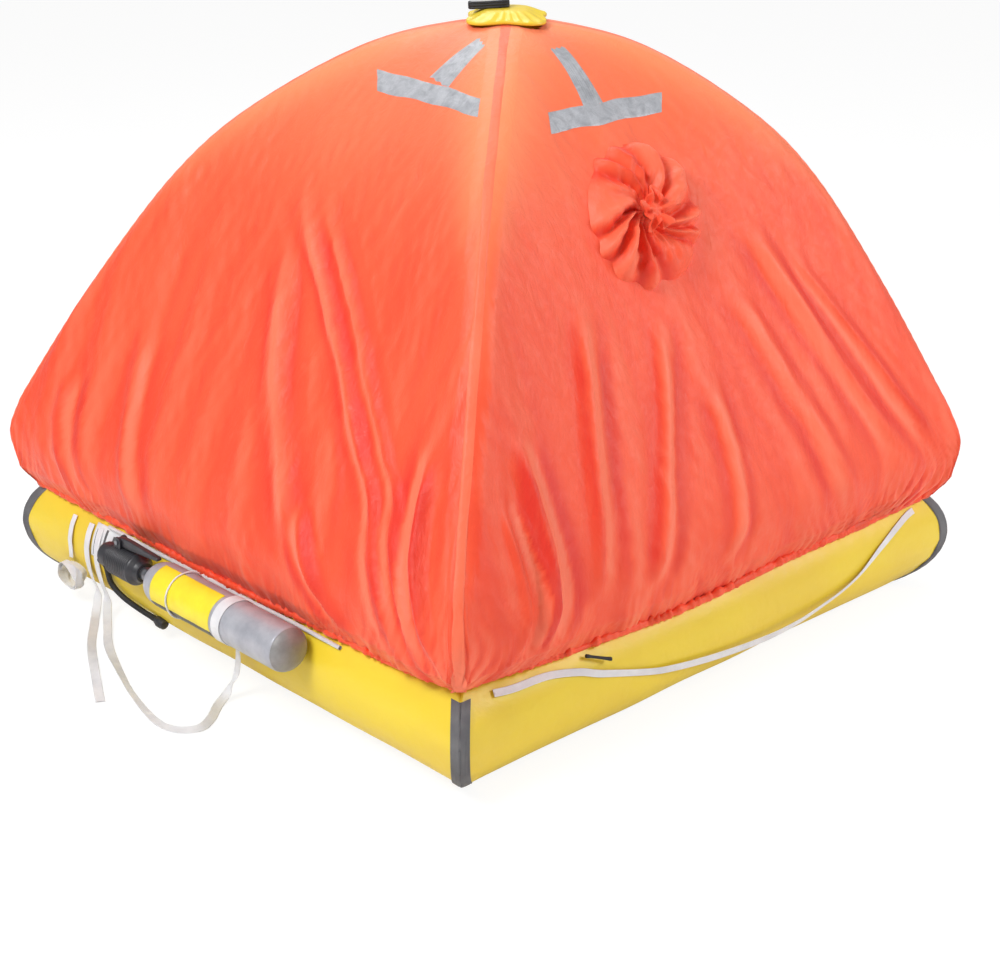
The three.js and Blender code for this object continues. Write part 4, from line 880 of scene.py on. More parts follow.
    def toggle(self) -> bpy.types.Object:
        """Black toggle that stands out under the hem: a turned stick with two flared ends."""
        start, end = np.array([-0.490, -0.8800, 0.2520]), np.array([-0.4250, -0.9000, 0.2290])
        length = float(np.linalg.norm(end - start))
        profile = [(0.0, 0.0), (0.0048, 0.0), (0.0046, 0.008), (0.0036, 0.014), (0.0036, length * 0.5),
                   (0.0042, length - 0.012), (0.0050, length - 0.004), (0.0044, length), (0.0, length)]
        piece = lathe("hem_toggle_stick", profile, start, end - start, 28, 0.0008)
        return settle_piece(piece, RUBBER, Slot.BLACK, "hem_toggle")

    def build(self) -> None:
        """Builds every cord and webbing with what is on it."""
        toggle = self.toggle()
        self.ribbon("grab_line_webbing", self.grab, 0, "object", "hanging", "grab_line", twist=0.35,
                    width=0.018, pieces=(toggle,))
        self.ribbon("operating_line", self.operating, 0, "object", "loose", "operating_webbing", twist=0.5)
        self.ribbon("spare_tail", self.tail, 0, "bare", "loose", "webbing_tail", twist=0.3)
        knot = self.knot()
        self.ribbon("hank_line", self.hank, 0, "knot", "hanging", "hank_webbing", width=0.0195,
                    pieces=(knot,))
        self.hem_cord()


# Buoyancy tubes and floor --------------------------------------------------------------------


@dataclass
class BuoyancyTubes:
    """The two square tubes, their corner tapes, and the arches that stand on them."""

    columns: int = 70
    rows: int = 72

    def ring(self, middle: float, radius: float, z: float, low: float, high: float, rows: int,
             lift: float) -> tuple[np.ndarray, np.ndarray]:
        """Points round the whole square tube between two angles of its section.

        The section's point is the middle line's half side plus the radius times the cosine of
        the angle, at the height of the middle plus the radius times its sine. Puckers of about a
        millimetre fan out from each mitre and die away along the tube.

        Args:
            middle: half side of the tube's middle line.
            radius: the tube's radius.
            z: height of the middle line.
            low: first angle of the section, in radians from outward.
            high: last angle.
            rows: how many rows lie between the angles.
            lift: distance over the tube's skin.

        Returns:
            The points and their map coordinates.
        """
        angle = np.linspace(low, high, rows)[:, None]
        u = np.sin(np.linspace(-math.pi / 2, math.pi / 2, self.columns))
        parts, maps = [], []
        for number, side in enumerate(Side):
            from_mitre = (1.0 - np.abs(u))[None, :]
            across, level = radius * np.sin(angle), radius * np.cos(angle)
            pucker = ripples(across + 0.4 * level, from_mitre * middle, 11 + number, 9, 0.05, 0.14, 0.0, 0.5)
            pucker = 0.0011 * pucker * bump(from_mitre * middle, 0.16)
            slack = ripples(across, u[None, :] * middle + number + 0.5 * level, 31, 8, 0.25, 0.9, 1.2, 0.5)
            slack = 0.0010 * slack
            r = radius + lift + pucker + slack - 0.0006
            half = middle + r * np.cos(angle)
            places = np.broadcast_to(u, (rows, len(u)))
            along, out = rounded_square(half, np.full_like(half, CORNER_R), places)
            parts.append(side.place(along, out, z + r * np.sin(angle)))
            run = (number + 0.5 + 0.5 * u[None, :]) * 2 * middle
            maps.append(pair(angle * radius, run))
        return np.concatenate(parts, axis=1), np.concatenate(maps, axis=1)

    def tube(self, name: str, middle: float, radius: float, z: float, node: str) -> bpy.types.Object:
        """One buoyancy tube, closed round its section and round the square."""
        points, uv = self.ring(middle, radius, z, 0.0, TAU, self.rows + 1, 0.0)
        points = np.concatenate([points, points[:, :1]], axis=1)
        uv = np.concatenate([uv, uv[:, :1]], axis=1)
        piece = make_piece(name, points, uv, weld=2e-4, outward=True)
        return settle_piece(piece, TUBE, Slot.TUBE, node)

    def corner_tapes(self) -> None:
        """Dark tapes over the mitres: a strip about 50 mm wide, folded at the corner."""
        sides = list(Side)
        across = np.linspace(-0.0255, 0.0255, 31)
        angle = np.radians(np.linspace(-66.0, 42.0, 60))[:, None]
        for number, side in enumerate(sides):
            edge = 0.00025 * ripples(angle * 0.155, across[None, :] * 4, 70 + number, 6, 0.02, 0.06)
            skins = []
            for lift in (0.0034, 0.0002):
                r = LOWER_R + lift + (edge if lift > 0.001 else 0.0)
                half = LOWER_MID + r * np.cos(angle)
                inset = np.abs(across)[None, :] * math.sqrt(2.0)
                step = np.sqrt(inset**2 + (0.6 * CORNER_R) ** 2) - 0.6 * CORNER_R
                tip = half - 0.3 * CORNER_R * bump(across, 0.004)
                along = np.where(across[None, :] < 0, half - step, tip)
                out = np.where(across[None, :] < 0, tip, half - step)
                skins.append(side.place(along, out, LOWER_R + r * np.sin(angle)))
            outer, inner = skins
            points = np.concatenate([inner[:, :1], outer, inner[:, -1:]], axis=1)
            width = np.concatenate([[-0.027], across, [0.027]])
            uv = pair(width[None, :], angle * LOWER_R)
            piece = make_piece(f"mitre_tape_{number + 1}", points, uv)
            settle_piece(piece, CORNER, Slot.CORNER, f"corner_tape_{(number + 1) % 4 + 1}")

    def arches(self) -> None:
        """The two arch tubes, swept under the ridges, with their crossing under the crown."""
        ridge = Canopy().section(160)
        keep = ridge[:, 1] > 0.53
        ridge = ridge[keep]
        along = np.stack([ridge[:, 0] * math.sqrt(2.0), ridge[:, 1]], axis=1)
        slope = unit(np.gradient(along, axis=0))
        depth = 0.0605
        line = along + depth * np.stack([-slope[:, 1], slope[:, 0]], axis=1)
        lean = LEAN * (np.clip((ridge[:, 1:] - 0.5) / 1.05, 0.0, 1.0) ** 1.3)
        whole = []
        for name, turn in (("one", math.pi / 4), ("two", -math.pi / 4)):
            heading = np.array([math.cos(turn), math.sin(turn)])
            inside = line[:, 0] > 0.004
            near = np.concatenate([-line[inside, :1] * heading + lean[inside], line[inside, 1:]], axis=1)
            far = np.concatenate([line[inside, :1] * heading + lean[inside], line[inside, 1:]], axis=1)[::-1]
            path = catmull(np.concatenate([near, far])[::4], 180)
            across = np.tile(np.array([-heading[1], heading[0], 0.0]), (len(path), 1))
            section = round_section(0.0492, 40)
            whole.append(sweep(f"arch_{name}", path, section, across))
        piece = join("arches", whole)
        settle_piece(piece, TUBE, Slot.TUBE, "arch_tubes")

    def build(self) -> None:
        """Builds the tubes, the tapes and the arches."""
        self.tube("lower_tube", LOWER_MID, LOWER_R, LOWER_R, "lower_buoyancy_tube")
        self.tube("upper_tube", UPPER_MID, UPPER_R, UPPER_Z, "upper_buoyancy_tube")
        self.corner_tapes()
        self.arches()


@dataclass
class Floor:
    """Floor cloth between the tubes and the ballast pockets folded under it."""

    half: float = 0.712
    place: float = 0.430
    pocket: float = 0.125

    def cloth(self) -> bpy.types.Object:
        """Floor cloth: raised over each pocket, wrinkled towards the tubes.

        The height is a base, plus a smooth step over each pocket, plus plane waves that grow
        towards the edges.
        """
        edge = np.linspace(-self.half + 0.001, self.half - 0.001, 150)
        x, y = np.meshgrid(edge, edge)
        over = np.ones_like(x)
        for centre in (x, y):
            beside = np.abs(np.abs(centre) - self.place) - self.pocket
            over = over * (1.0 - smooth(beside, 0.003, 0.012))
        rim = smooth(np.maximum(np.abs(x), np.abs(y)), 0.35, 0.70)
        wave = 0.5 + 0.5 * ripples(x, y, 5, 16, 0.05, 0.30)
        z = 0.0022 + 0.0062 * over + 0.0011 * np.clip(wave, 0.0, 1.6) * (0.4 + rim)
        uv = np.stack([x, y], axis=-1)
        piece = make_piece("floor_cloth", np.stack([x, y, z], axis=-1), uv)
        settle_piece(piece, FLOOR_CLOTH, Slot.FLOOR, "floor_sheet")
        return piece

    def pockets(self) -> None:
        """Folded ballast pockets: flat bags with soft folded layers, one under each tray."""
        u = np.linspace(-1.0, 1.0, 33)
        x, y = np.meshgrid(u, u)
        for number, (sx, sy) in enumerate(((-1, -1), (1, -1), (1, 1), (-1, 1))):
            rim = (1.0 - np.abs(x) ** 8) * (1.0 - np.abs(y) ** 8)
            fold = 0.0006 * np.sin(x * 9.0 + 0.6 * np.sin(3 * y))
            fold = fold + 0.0005 * ripples(x, y, 40 + number, 8, 0.3, 1.2)
            top = 0.0030 + rim * (0.0022 + fold)
            low = 0.0030 - rim * 0.0026
            where = (sx * self.place + x * self.pocket * 0.985, sy * self.place + y * self.pocket * 0.985)
            upper = np.stack([*where, top], axis=-1)
            lower = np.stack([*where, low], axis=-1)[:, ::-1]
            skins = [make_piece(f"pocket_skin_{number}_{k}", part) for k, part in enumerate((upper, lower))]
            piece = join(f"ballast_bag_{number + 1}", skins)
            weld_mesh(piece.data, 1e-5, outward=True)
            settle_piece(piece, FLOOR_CLOTH, Slot.FLOOR, f"ballast_pocket_{number + 1}")

    def build(self) -> None:
        """Builds the floor cloth and the pockets."""
        self.cloth()
        self.pockets()


# Canopy --------------------------------------------------------------------------------------


@dataclass(frozen=True)
class Fold:
    """A fold of a panel by the line that it follows: place along the side and height.

    Width is that of its crest; height is how far it stands out, and is negative for a crease.
    """

    line: tuple[tuple[float, float], ...]
    width: float
    height: float

    def relief(self, along: np.ndarray, z: np.ndarray) -> np.ndarray:
        """Height of the fold over the panel, from the nearest distance to its line.

        The crest is a bell curve of the distance, with a shallow trough to each side, and it
        dies away towards both ends of the line.
        """
        points = catmull(np.array(self.line), 9)
        best = np.full(np.broadcast(along, z).shape, 1e9)
        where = np.zeros_like(best)
        for k in range(len(points) - 1):
            a, d = points[k], points[k + 1] - points[k]
            t = np.clip(((along - a[0]) * d[0] + (z - a[1]) * d[1]) / (d @ d), 0.0, 1.0)
            distance = np.hypot(along - a[0] - t * d[0], z - a[1] - t * d[1])
            nearer = distance < best
            best = np.where(nearer, distance, best)
            where = np.where(nearer, (k + t) / (len(points) - 1), where)
        ends = smooth(where, 0.0, 0.25) * (1.0 - smooth(where, 0.75, 1.0))
        crest = np.exp(-np.abs(best / self.width) ** 1.5)
        return 1.6 * self.height * ends * (crest - 0.5 * bump(best - 2.1 * self.width, self.width))


@dataclass
class Canopy:
    """The cloth canopy: four panels on one surface, with its seams, tapes, hem and crown."""

    half: float = 0.9085
    top: float = 1.55
    bulge: float = 0.42
    hem_z: float = 0.2735
    columns: int = 241
    rows: int = 211
    shares: tuple = ((0.979, 0.07), (0.944, 0.14), (0.81, 0.38), (0.641, 0.64), (0.482, 0.8),
                     (0.246, 0.945), (0.0, 1.0))
    door_half: float = 0.350
    door_sill: float = 0.5903
    door_top: float = 1.1303
    door_round: float = 0.240
    vent: tuple = (0.0, 1.145)
    vent_r: float = 0.160

    def section(self, samples: int) -> np.ndarray:
        """Outline of a ridge: half side against height, from the skirt to the crown."""
        rise = self.top - self.bulge
        points = [(self.half - 0.015, 0.325), (self.half, self.bulge)]
        points += [(a * self.half, self.bulge + b * rise) for a, b in self.shares]
        return catmull(np.array(points), samples)

    @staticmethod
    def lean(z: np.ndarray) -> np.ndarray:
        """Sideways lean of the canopy at a height: it grows as a power of the height."""
        return LEAN * (np.clip((np.asarray(z)[..., None] - 0.5) / 1.05, 0.0, None) ** 1.3)

    @staticmethod
    def ridge_radius(half: np.ndarray, z: np.ndarray) -> np.ndarray:
        """Radius of the ridges, which grows from 35 mm at the tube to 58 mm up the ridge."""
        return np.minimum(0.035 + 0.023 * smooth(z, 0.42, 0.59), half * 0.6)

    @staticmethod
    def grid(u: np.ndarray, half: np.ndarray, z: np.ndarray) -> tuple[np.ndarray, np.ndarray, np.ndarray]:
        """Places across, half sides and heights of a grid with one row for each height."""
        across, size = np.meshgrid(u, half)
        return across, size, np.repeat(z[:, None], len(u), axis=1)

    def outline(self) -> tuple[np.ndarray, np.ndarray]:
        """Half sides and heights from the hem to the crown, close enough to read between."""
        return self.heights(1500, self.hem_z, CROWN_Z)

    def skin(self, side: Side, u: np.ndarray, half: np.ndarray, z: np.ndarray,
             lift: np.ndarray) -> np.ndarray:
        """Points of the canopy's skin on one side.

        The plan is a square with rounded corners. Each face lies a little inside the line
        between its ridges, most in the middle, by a sine of the height to the power of 1.5.

        Args:
            side: which side.
            u: place across the panel, -1 to 1.
            half: half the square's side at the point's height.
            z: height.
            lift: distance out from the smooth surface.

        Returns:
            The points.
        """
        radius = self.ridge_radius(half, z)
        corner = radius * (1.0 - math.sqrt(0.5))
        along, out = rounded_square(half + corner, radius, u)
        share = np.clip((z - 0.52) / 1.03, 0.0, 1.0)
        hollow = corner + 0.032 * np.sin(math.pi * share) ** 1.5
        hollow = hollow * np.clip(1.0 - (np.abs(u) / FLAT_SHARE) ** 2, 0.0, 1.0)
        points = side.place(along, out - hollow + lift, z)
        points[..., :2] += self.lean(z)
        return points

    def heights(self, rows: int, low: float, high: float) -> tuple[np.ndarray, np.ndarray]:
        """Half sides and heights of the rows between two heights, evenly along the outline.

        Below the skirt the outline goes on down the tube's shoulder to the hem.
        """
        line = self.section(900)
        hem = np.array([[0.8565 + 0.004, self.hem_z], [0.877, 0.2985]])
        line = np.vstack([hem, line])
        line = catmull(line[np.r_[0, 1, 2, 3:len(line):12, len(line) - 1]], 1200)
        run = np.concatenate([[0.0], np.cumsum(np.linalg.norm(np.diff(line, axis=0), axis=1))])
        at = np.interp([low, high], line[:, 1], run)
        steps = np.linspace(at[0], at[1], rows)
        return np.interp(steps, run, line[:, 0]), np.interp(steps, run, line[:, 1])

    def folds(self, side: Side) -> list[Fold]:
        """The folds of one side that the photograph shows, and like ones on the far sides."""
        if side is Side.BOTTLE:
            return [
                Fold(((-0.062, 1.192), (0.20, 0.99), (0.42, 0.80), (0.645, 0.60)), 0.018, 0.012),
                Fold(((-0.143, 1.201), (0.141, 0.963), (0.31, 0.828), (0.62, 0.534)), 0.022, 0.013),
                Fold(((-0.10, 1.10), (0.02, 0.86), (0.20, 0.62), (0.40, 0.38)), 0.030, 0.009),
                Fold(((-0.42, 0.82), (-0.40, 0.66), (-0.34, 0.46), (-0.28, 0.33)), 0.028, 0.008),
                Fold(((0.64, 0.80), (0.68, 0.62), (0.74, 0.46), (0.80, 0.32)), 0.018, 0.012),
                Fold(((0.52, 0.72), (0.58, 0.56), (0.66, 0.42), (0.70, 0.31)), 0.016, -0.010),
                Fold(((0.30, 0.58), (0.36, 0.46), (0.44, 0.36), (0.50, 0.30)), 0.018, 0.010),
                Fold(((-0.66, 0.66), (-0.64, 0.52), (-0.60, 0.40), (-0.58, 0.31)), 0.022, 0.007),
            ]
        if side is Side.VENT:
            return [
                Fold(((-0.66, 0.70), (-0.643, 0.560), (-0.628, 0.456), (-0.66, 0.31)), 0.012, -0.016),
                Fold(((-0.60, 0.80), (-0.585, 0.62), (-0.580, 0.46), (-0.60, 0.32)), 0.020, 0.014),
                Fold(((-0.30, 1.02), (-0.36, 0.80), (-0.42, 0.56), (-0.46, 0.34)), 0.024, 0.010),
                Fold(((-0.06, 0.96), (-0.12, 0.76), (-0.22, 0.52), (-0.30, 0.32)), 0.022, 0.009),
                Fold(((0.26, 1.12), (0.36, 0.92), (0.50, 0.66), (0.62, 0.42)), 0.024, 0.010),
                Fold(((0.18, 0.98), (0.26, 0.78), (0.36, 0.54), (0.42, 0.34)), 0.026, 0.008),
                Fold(((0.38, 1.02), (0.52, 0.80), (0.66, 0.58), (0.78, 0.40)), 0.018, 0.008),
                Fold(((0.02, 0.80), (0.04, 0.64), (0.02, 0.46), (-0.04, 0.32)), 0.020, 0.007),
            ]
        seed = 3 if side is Side.FAR else 9
        rng = np.random.default_rng(seed)
        found = []
        for start in np.linspace(-0.62, 0.62, 7):
            lead = 0.10 * (rng.random() - 0.5)
            high = 0.70 + 0.42 * rng.random()
            line = ((start * 0.45, high), (start * 0.75 + lead, high * 0.72), (start + lead, 0.36))
            found.append(Fold(line, 0.018 + 0.012 * rng.random(), 0.006 + 0.005 * rng.random()))
        return found

    def relief(self, side: Side, u: np.ndarray, half: np.ndarray, z: np.ndarray) -> np.ndarray:
        """How far the cloth stands out from the smooth surface on one side.

        Sum of the named folds, of long waves that run up and down, of gathers that grow towards
        the hem and the corners, and of small crinkles. It falls to nothing at the ridges, so
        that neighbouring panels meet.
        """
        along = u * half
        number = list(Side).index(side)
        total = sum(fold.relief(along, z) for fold in self.folds(side))
        total = total + 0.0030 * ripples(along, z, 21 + number, 10, 0.14, 0.50, 0.12, 0.30)
        total = total + 0.0018 * (0.55 - np.abs(ripples(along, z, 121 + number, 5, 0.30, 0.70, 0.05, 0.30)))
        total = total + 0.0006 * ripples(along, z, 51 + number, 14, 0.03, 0.09, 0.3, 0.8)
        corner = smooth(np.abs(u), 0.45, 0.95)
        low = bump(np.maximum(z - 0.27, 0.0), 0.075) + 0.55 * corner * bump(np.maximum(z - 0.27, 0.0), 0.22)
        wander = along + 0.02 * ripples(along, z, 61 + number, 6, 0.15, 0.5)
        gathers = ripples(wander, 0.15 * z, 81 + number, 6, 0.034, 0.075, 0.0, 0.14)
        total = total + 0.0085 * low * (np.minimum(np.abs(gathers), 1.5) - 0.35)
        edge = 1.0 - smooth(np.abs(u), 0.955, 0.999)
        return np.clip(total, -0.0045, 0.024) * edge + 0.0006

    def glow(self, u: np.ndarray, half: np.ndarray, z: np.ndarray) -> np.ndarray:
        """How much painted glow the cloth takes, standing in for light through the cloth over the arches:
        most at the crown, and near the ridges.
        """
        from_ridge = (1.0 - np.abs(u)) * half
        high = smooth(z, 1.05, 1.5)
        wide = 0.05 + 0.09 * high
        return np.clip(0.42 * bump(from_ridge, wide) * smooth(z, 0.75, 1.45) + 0.34 * high, 0.0, 1.0)

    def panel(self, side: Side) -> bpy.types.Object:
        """One panel of the canopy as a sheet from the hem to the crown's opening."""
        half, z = self.heights(self.rows, self.hem_z, CROWN_Z)
        u = np.linspace(-1.0, 1.0, self.columns)
        u = np.sign(u) * (1.0 - (1.0 - np.abs(u)) ** 1.12)
        grid_u, grid_half, grid_z = self.grid(u, half, z)
        lift = self.relief(side, grid_u, grid_half, grid_z)
        points = self.skin(side, grid_u, grid_half, grid_z, lift)
        low = 1.0 - smooth(grid_z, 0.27, 0.36)
        points[..., 2] += (0.004 * np.clip(lift / 0.01, -1.0, 1.5) + self.sway(side, grid_u)) * low
        middle = (points[:-1, :-1] + points[1:, 1:]) / 2
        away = middle[..., :2] - LEAN
        turn = np.arctan2(away[..., 1], away[..., 0])
        keep = np.hypot(away[..., 0], away[..., 1]) > CROWN_R + 0.0135 * np.cos(4 * turn)
        if side is Side.VENT:
            down = (middle[..., 2] - self.vent[1]) / 0.80
            keep &= np.hypot(middle[..., 0] - self.vent[0], down) > self.vent_r - 0.012
        if side is Side.ENTRANCE:
            keep &= ~self.in_door(middle[..., 0], middle[..., 2])
        uv = np.stack([grid_u * grid_half, grid_z], axis=-1)
        piece = make_piece(f"canopy_cloth_{side.name.lower()}", points, uv, keep=keep)
        # Fold mark for the painted highlight on crests and painted shade in creases.
        self.mark_fold_shading(piece, side, half, z)
        # Glow mark for the painted glow of light through the cloth.
        co = corners(piece)
        height = co[:, 2]
        flat = np.abs(co[:, :2] - self.lean(height))
        size = np.interp(height, z, half)
        share = np.minimum(flat.min(axis=1) / np.maximum(size, 1e-3), 1.0)
        mark_corners(piece, "glow", self.glow(share, size, height))
        settle_piece(piece, CLOTH, Slot.CANOPY, f"canopy_panel_{side.name.lower()}")
        return piece

    @staticmethod
    def sway(side: Side, u: np.ndarray) -> np.ndarray:
        """Height of the hem over its level line along a side, as a sum of bell curves of place."""
        if side is Side.VENT:
            return 0.016 * bump(u + 0.92, 0.22) - 0.016 * bump(u + 0.12, 0.36) - 0.006 * bump(u - 0.55, 0.3)
        if side is Side.BOTTLE:
            return 0.016 * bump(u - 0.95, 0.16) - 0.010 * bump(u + 0.05, 0.4)
        return 0.006 * bump(np.abs(u) - 1.0, 0.2) - 0.006 * bump(u, 0.5)

    def mark_fold_shading(self, piece: bpy.types.Object, side: Side, half: np.ndarray, z: np.ndarray) -> None:
        """Marks each point of a panel by how it stands over what is round it, as the mask of the painted
        highlight on crests and painted shade in creases.

        The mark is 1 on a crest and -1 in a crease. The relief is compared with its own mean
        over a few centimetres to each side.

        Args:
            piece: the panel's piece.
            side: which side it is on.
            half: half sides of the canopy's rows.
            z: heights of the same rows.
        """
        u = np.linspace(-1.0, 1.0, 401)
        grid_u, grid_half, grid_z = self.grid(u, half, z)
        lift = self.relief(side, grid_u, grid_half, grid_z)
        steps = np.arange(-14, 15)
        mean = sum(lift[:, np.clip(np.arange(len(u)) + k, 0, len(u) - 1)] for k in steps) / len(steps)
        value = np.clip((lift - mean) / 0.0075, -1.0, 1.0)
        co = corners(piece)
        flat = co[:, :2] - self.lean(co[:, 2])
        along = flat[:, 0] * math.cos(side.value) + flat[:, 1] * math.sin(side.value)
        place = np.clip(along / np.interp(co[:, 2], z, half), -1.0, 1.0)
        column = (place + 1.0) / 2.0 * (len(u) - 1)
        row = np.interp(co[:, 2], z, np.arange(len(z)))
        i, j = row.round().astype(int), column.round().astype(int)
        mark_corners(piece, "fold", value[i, j])

    def in_door(self, x: np.ndarray, z: np.ndarray) -> np.ndarray:
        """Whether points lie inside the doorway: an oblong with two rounded upper corners."""
        inside = (np.abs(x) < self.door_half) & (z > self.door_sill) & (z < self.door_top)
        cx = np.abs(x) - (self.door_half - self.door_round)
        cz = z - (self.door_top - self.door_round)
        cut = (cx > 0) & (cz > 0) & ((cx / self.door_round) ** 1.75 + (cz / self.door_round) ** 1.75 > 1.0)
        return inside & ~cut

    def tape_patch(self, name: str, side: Side, corners: list, lift: float, seed: int) -> bpy.types.Object:
        """Flat tape between four corners on a panel, bent with the cloth under it.

        The corners are blended over the unit square, and each point's height picks its half
        side from the ridge's outline. The tape's skirt goes down to the cloth.

        Args:
            name: name of the piece.
            side: which panel.
            corners: place along and height of the four corners, in order round the tape.
            lift: the tape's thickness.
            seed: number that fixes its slight waviness.

        Returns:
            The bare piece.
        """
        half, z = self.outline()
        s, t = np.meshgrid(np.linspace(0, 1, 50), np.linspace(0, 1, 14))
        c = np.array(corners, float)
        plan = ((1 - s) * (1 - t))[..., None] * c[0] + (s * (1 - t))[..., None] * c[1]
        plan = plan + (s * t)[..., None] * c[2] + ((1 - s) * t)[..., None] * c[3]
        height = plan[..., 1] + 0.0012 * np.sin(s * 17 + seed)
        size = np.interp(height, z, half)
        u = plan[..., 0] / size
        edge = np.minimum(np.minimum(s, 1 - s) * 12, np.minimum(t, 1 - t) * 5)
        wave = 0.0009 * ripples(s, t * 0.3, seed, 6, 0.1, 0.4)
        rise = lift * smooth(edge, 0.0, 0.5) + wave * smooth(edge, 0.3, 1.0)
        over = self.relief(side, u, size, height) + np.maximum(rise, 0.0004)
        return make_piece(name, self.skin(side, u, size, height, over), plan)

    def reflectors(self) -> None:
        """Reflective tapes: a stem and a bar on each panel, as flat tapes that follow the cloth."""
        layouts = {
            Side.BOTTLE: ([(0.079, 1.517), (0.146, 1.509), (0.145, 1.428), (0.059, 1.440)],
                          [(-0.131, 1.435), (0.289, 1.425), (0.322, 1.393), (-0.071, 1.395)]),
            Side.VENT: ([(-0.054, 1.496), (0.003, 1.495), (-0.008, 1.383), (-0.080, 1.380)],
                        [(-0.200, 1.387), (0.194, 1.381), (0.161, 1.341), (-0.224, 1.347)]),
            Side.FAR: ([(-0.054, 1.505), (-0.0135, 1.505), (-0.009, 1.400), (-0.050, 1.400)],
                       [(-0.198, 1.402), (0.144, 1.404), (0.144, 1.364), (-0.198, 1.361)]),
            Side.ENTRANCE: ([(-0.027, 1.505), (0.0135, 1.505), (0.018, 1.400), (-0.0225, 1.400)],
                            [(-0.180, 1.402), (0.171, 1.404), (0.171, 1.364), (-0.180, 1.361)]),
        }
        for number, (side, (stem, bar)) in enumerate(layouts.items()):
            label = side.name.lower()
            first = self.tape_patch(f"stem_{label}", side, stem, 0.0014, 5 + number)
            second = self.tape_patch(f"bar_{label}", side, bar, 0.0022, 15 + number)
            piece = join(f"reflective_tape_{label}", [first, second])
            settle_piece(piece, TAPE, Slot.REFLECTOR, f"reflector_{label}")

    def ridge_seams(self) -> None:
        """Seam tapes on the ridges: a narrow strip over both panels with a raised middle."""
        half, z = self.heights(260, 0.30, CROWN_Z)
        sides = list(Side)
        for number, side in enumerate(sides):
            after = sides[(number + 1) % 4]
            radius = self.ridge_radius(half, z)
            reach = 0.011 * 0.1 / (radius * math.pi / 4)[:, None]
            strips = []
            for where, sign in ((side, 1.0), (after, -1.0)):
                share = np.linspace(0.0, 1.0, 7)[None, :]
                u = sign * (1.0 - reach * share)
                wobble = 0.0007 * np.sin(z * 210.0)[:, None] * (1.0 - share)
                height = 0.0026 * (1.0 - share**2) + 0.0004 + wobble
                grid_half = np.repeat(half[:, None], 7, axis=1)
                grid_z = np.repeat(z[:, None], 7, axis=1)
                height = height + self.relief(where, u, grid_half, grid_z)
                strips.append(self.skin(where, u, grid_half, grid_z, height))
            points = np.concatenate([strips[0][:, ::-1], strips[1][:, 1:]], axis=1)
            away = points[:-1, 6, :2] - LEAN
            outside = np.hypot(away[:, 0], away[:, 1]) > CROWN_R
            keep = np.repeat(outside[:, None], points.shape[1] - 1, axis=1)
            width = np.linspace(-0.011, 0.011, points.shape[1])
            uv = pair(width[None, :], z[:, None])
            piece = make_piece(f"ridge_seam_{number + 1}", points, uv, keep=keep)
            settle_piece(piece, SEAM, Slot.CANOPY, f"ridge_tape_{number + 1}")

    def hem(self) -> None:
        """Gathered hem: an elastic casing whose cloth puckers in and out along its length.

        The section is a flattened ring. Its size and its place swing with gathers whose length
        wanders, closer together near the corners.
        """
        count = 260
        parts, maps = [], []
        turn = np.linspace(0.0, TAU, 15)[:, None]
        for number, side in enumerate(Side):
            u = np.linspace(-1.0, 1.0, count)[None, :]
            along_m = u * 0.87
            gather = ripples(along_m + 0.015 * ripples(along_m, 0 * u, number + 3, 5, 0.1, 0.4), 0 * u,
                             90 + number, 7, 0.018, 0.038, 0.0, 0.1)
            size = 0.0052 + 0.0022 * np.clip(gather, -1.0, 1.6)
            half = 0.8585 + 0.004 * np.cos(turn) + size * np.cos(turn) + 0.0016 * gather + 0.0035
            z = self.hem_z - 0.0005 + 1.25 * size * np.sin(turn) + 0.0035 * np.sin(turn) + 0.0022 * gather
            z = z + self.sway(side, u)
            half = half - 0.55 * self.sway(side, u)
            radius = np.full_like(half * u, 0.035)
            along, out = rounded_square(half * np.ones_like(u), radius, np.broadcast_to(u, half.shape))
            parts.append(side.place(along, out, z))
            maps.append(pair(turn * 0.01, along_m + 2 * number))
        points = np.concatenate(parts, axis=1)
        uv = np.concatenate(maps, axis=1)
        points = np.concatenate([points, points[:, :1]], axis=1)
        uv = np.concatenate([uv, uv[:, :1]], axis=1)
        piece = make_piece("gathered_hem", points, uv, weld=1e-4, outward=True)
        settle_piece(piece, CLOTH, Slot.CANOPY, "canopy_hem")

    def vent_sleeve(self) -> None:
        """Vent sleeve: cloth gathered to a tied neck, in petals that swirl round it.

        On polar coordinates round the vent, the height is a low dome that falls to the panel at
        its rim. Pleats are a cosine of the turn whose phase swirls towards the neck; they are
        deepest half way out. The free end beyond the tie flares into a small crumpled tuft.
        """
        middle, out, side, up = self.vent_frame()
        r = np.concatenate([np.linspace(1.03, 0.12, 56), np.linspace(0.115, 0.06, 8)])[:, None]
        turn = np.linspace(0.0, TAU, 361)[None, :]
        swirl = turn + 0.9 * np.maximum(1.0 - r, 0.0) ** 1.6
        wander = swirl + 0.16 * np.sin(3 * swirl + 1.0) + 0.10 * np.sin(5 * swirl + 2.0)
        petals = np.clip(0.5 + 0.5 * np.cos(11 * wander), 0.0, 1.0)
        petals = petals**0.8 * (1.0 + 0.40 * np.sin(2 * swirl + 0.6))
        fine = ripples(r * 0.16 + 0 * turn, swirl * 0.05, 7, 10, 0.012, 0.05, 1.2, 0.5)
        dome = 0.022 * np.sin(math.pi * np.clip((1.0 - r) / 0.95, 0.0, 1.0) ** 0.62)
        depth = np.sin(math.pi * np.clip((1.03 - r) / 0.90, 0.0, 1.0)) ** 0.7
        height = dome + 0.028 * petals * depth + 0.0026 * fine * depth - 0.0005
        height = height + 0.012 * smooth(0.2 - r, 0.0, 0.12)
        lobes = 0.045 * np.sin(11 * wander + 1.0) * depth + 0.022 * np.cos(11 * wander) * smooth(r, 0.4, 0.7)
        wide = 1.10 * self.vent_r * r * (1.0 + lobes)
        a, b = wide * np.cos(turn), wide * np.sin(turn)
        points = middle + a[..., None] * side + b[..., None] * up + height[..., None] * out
        points = points + self.vent_sag(a, b)[..., None] * out
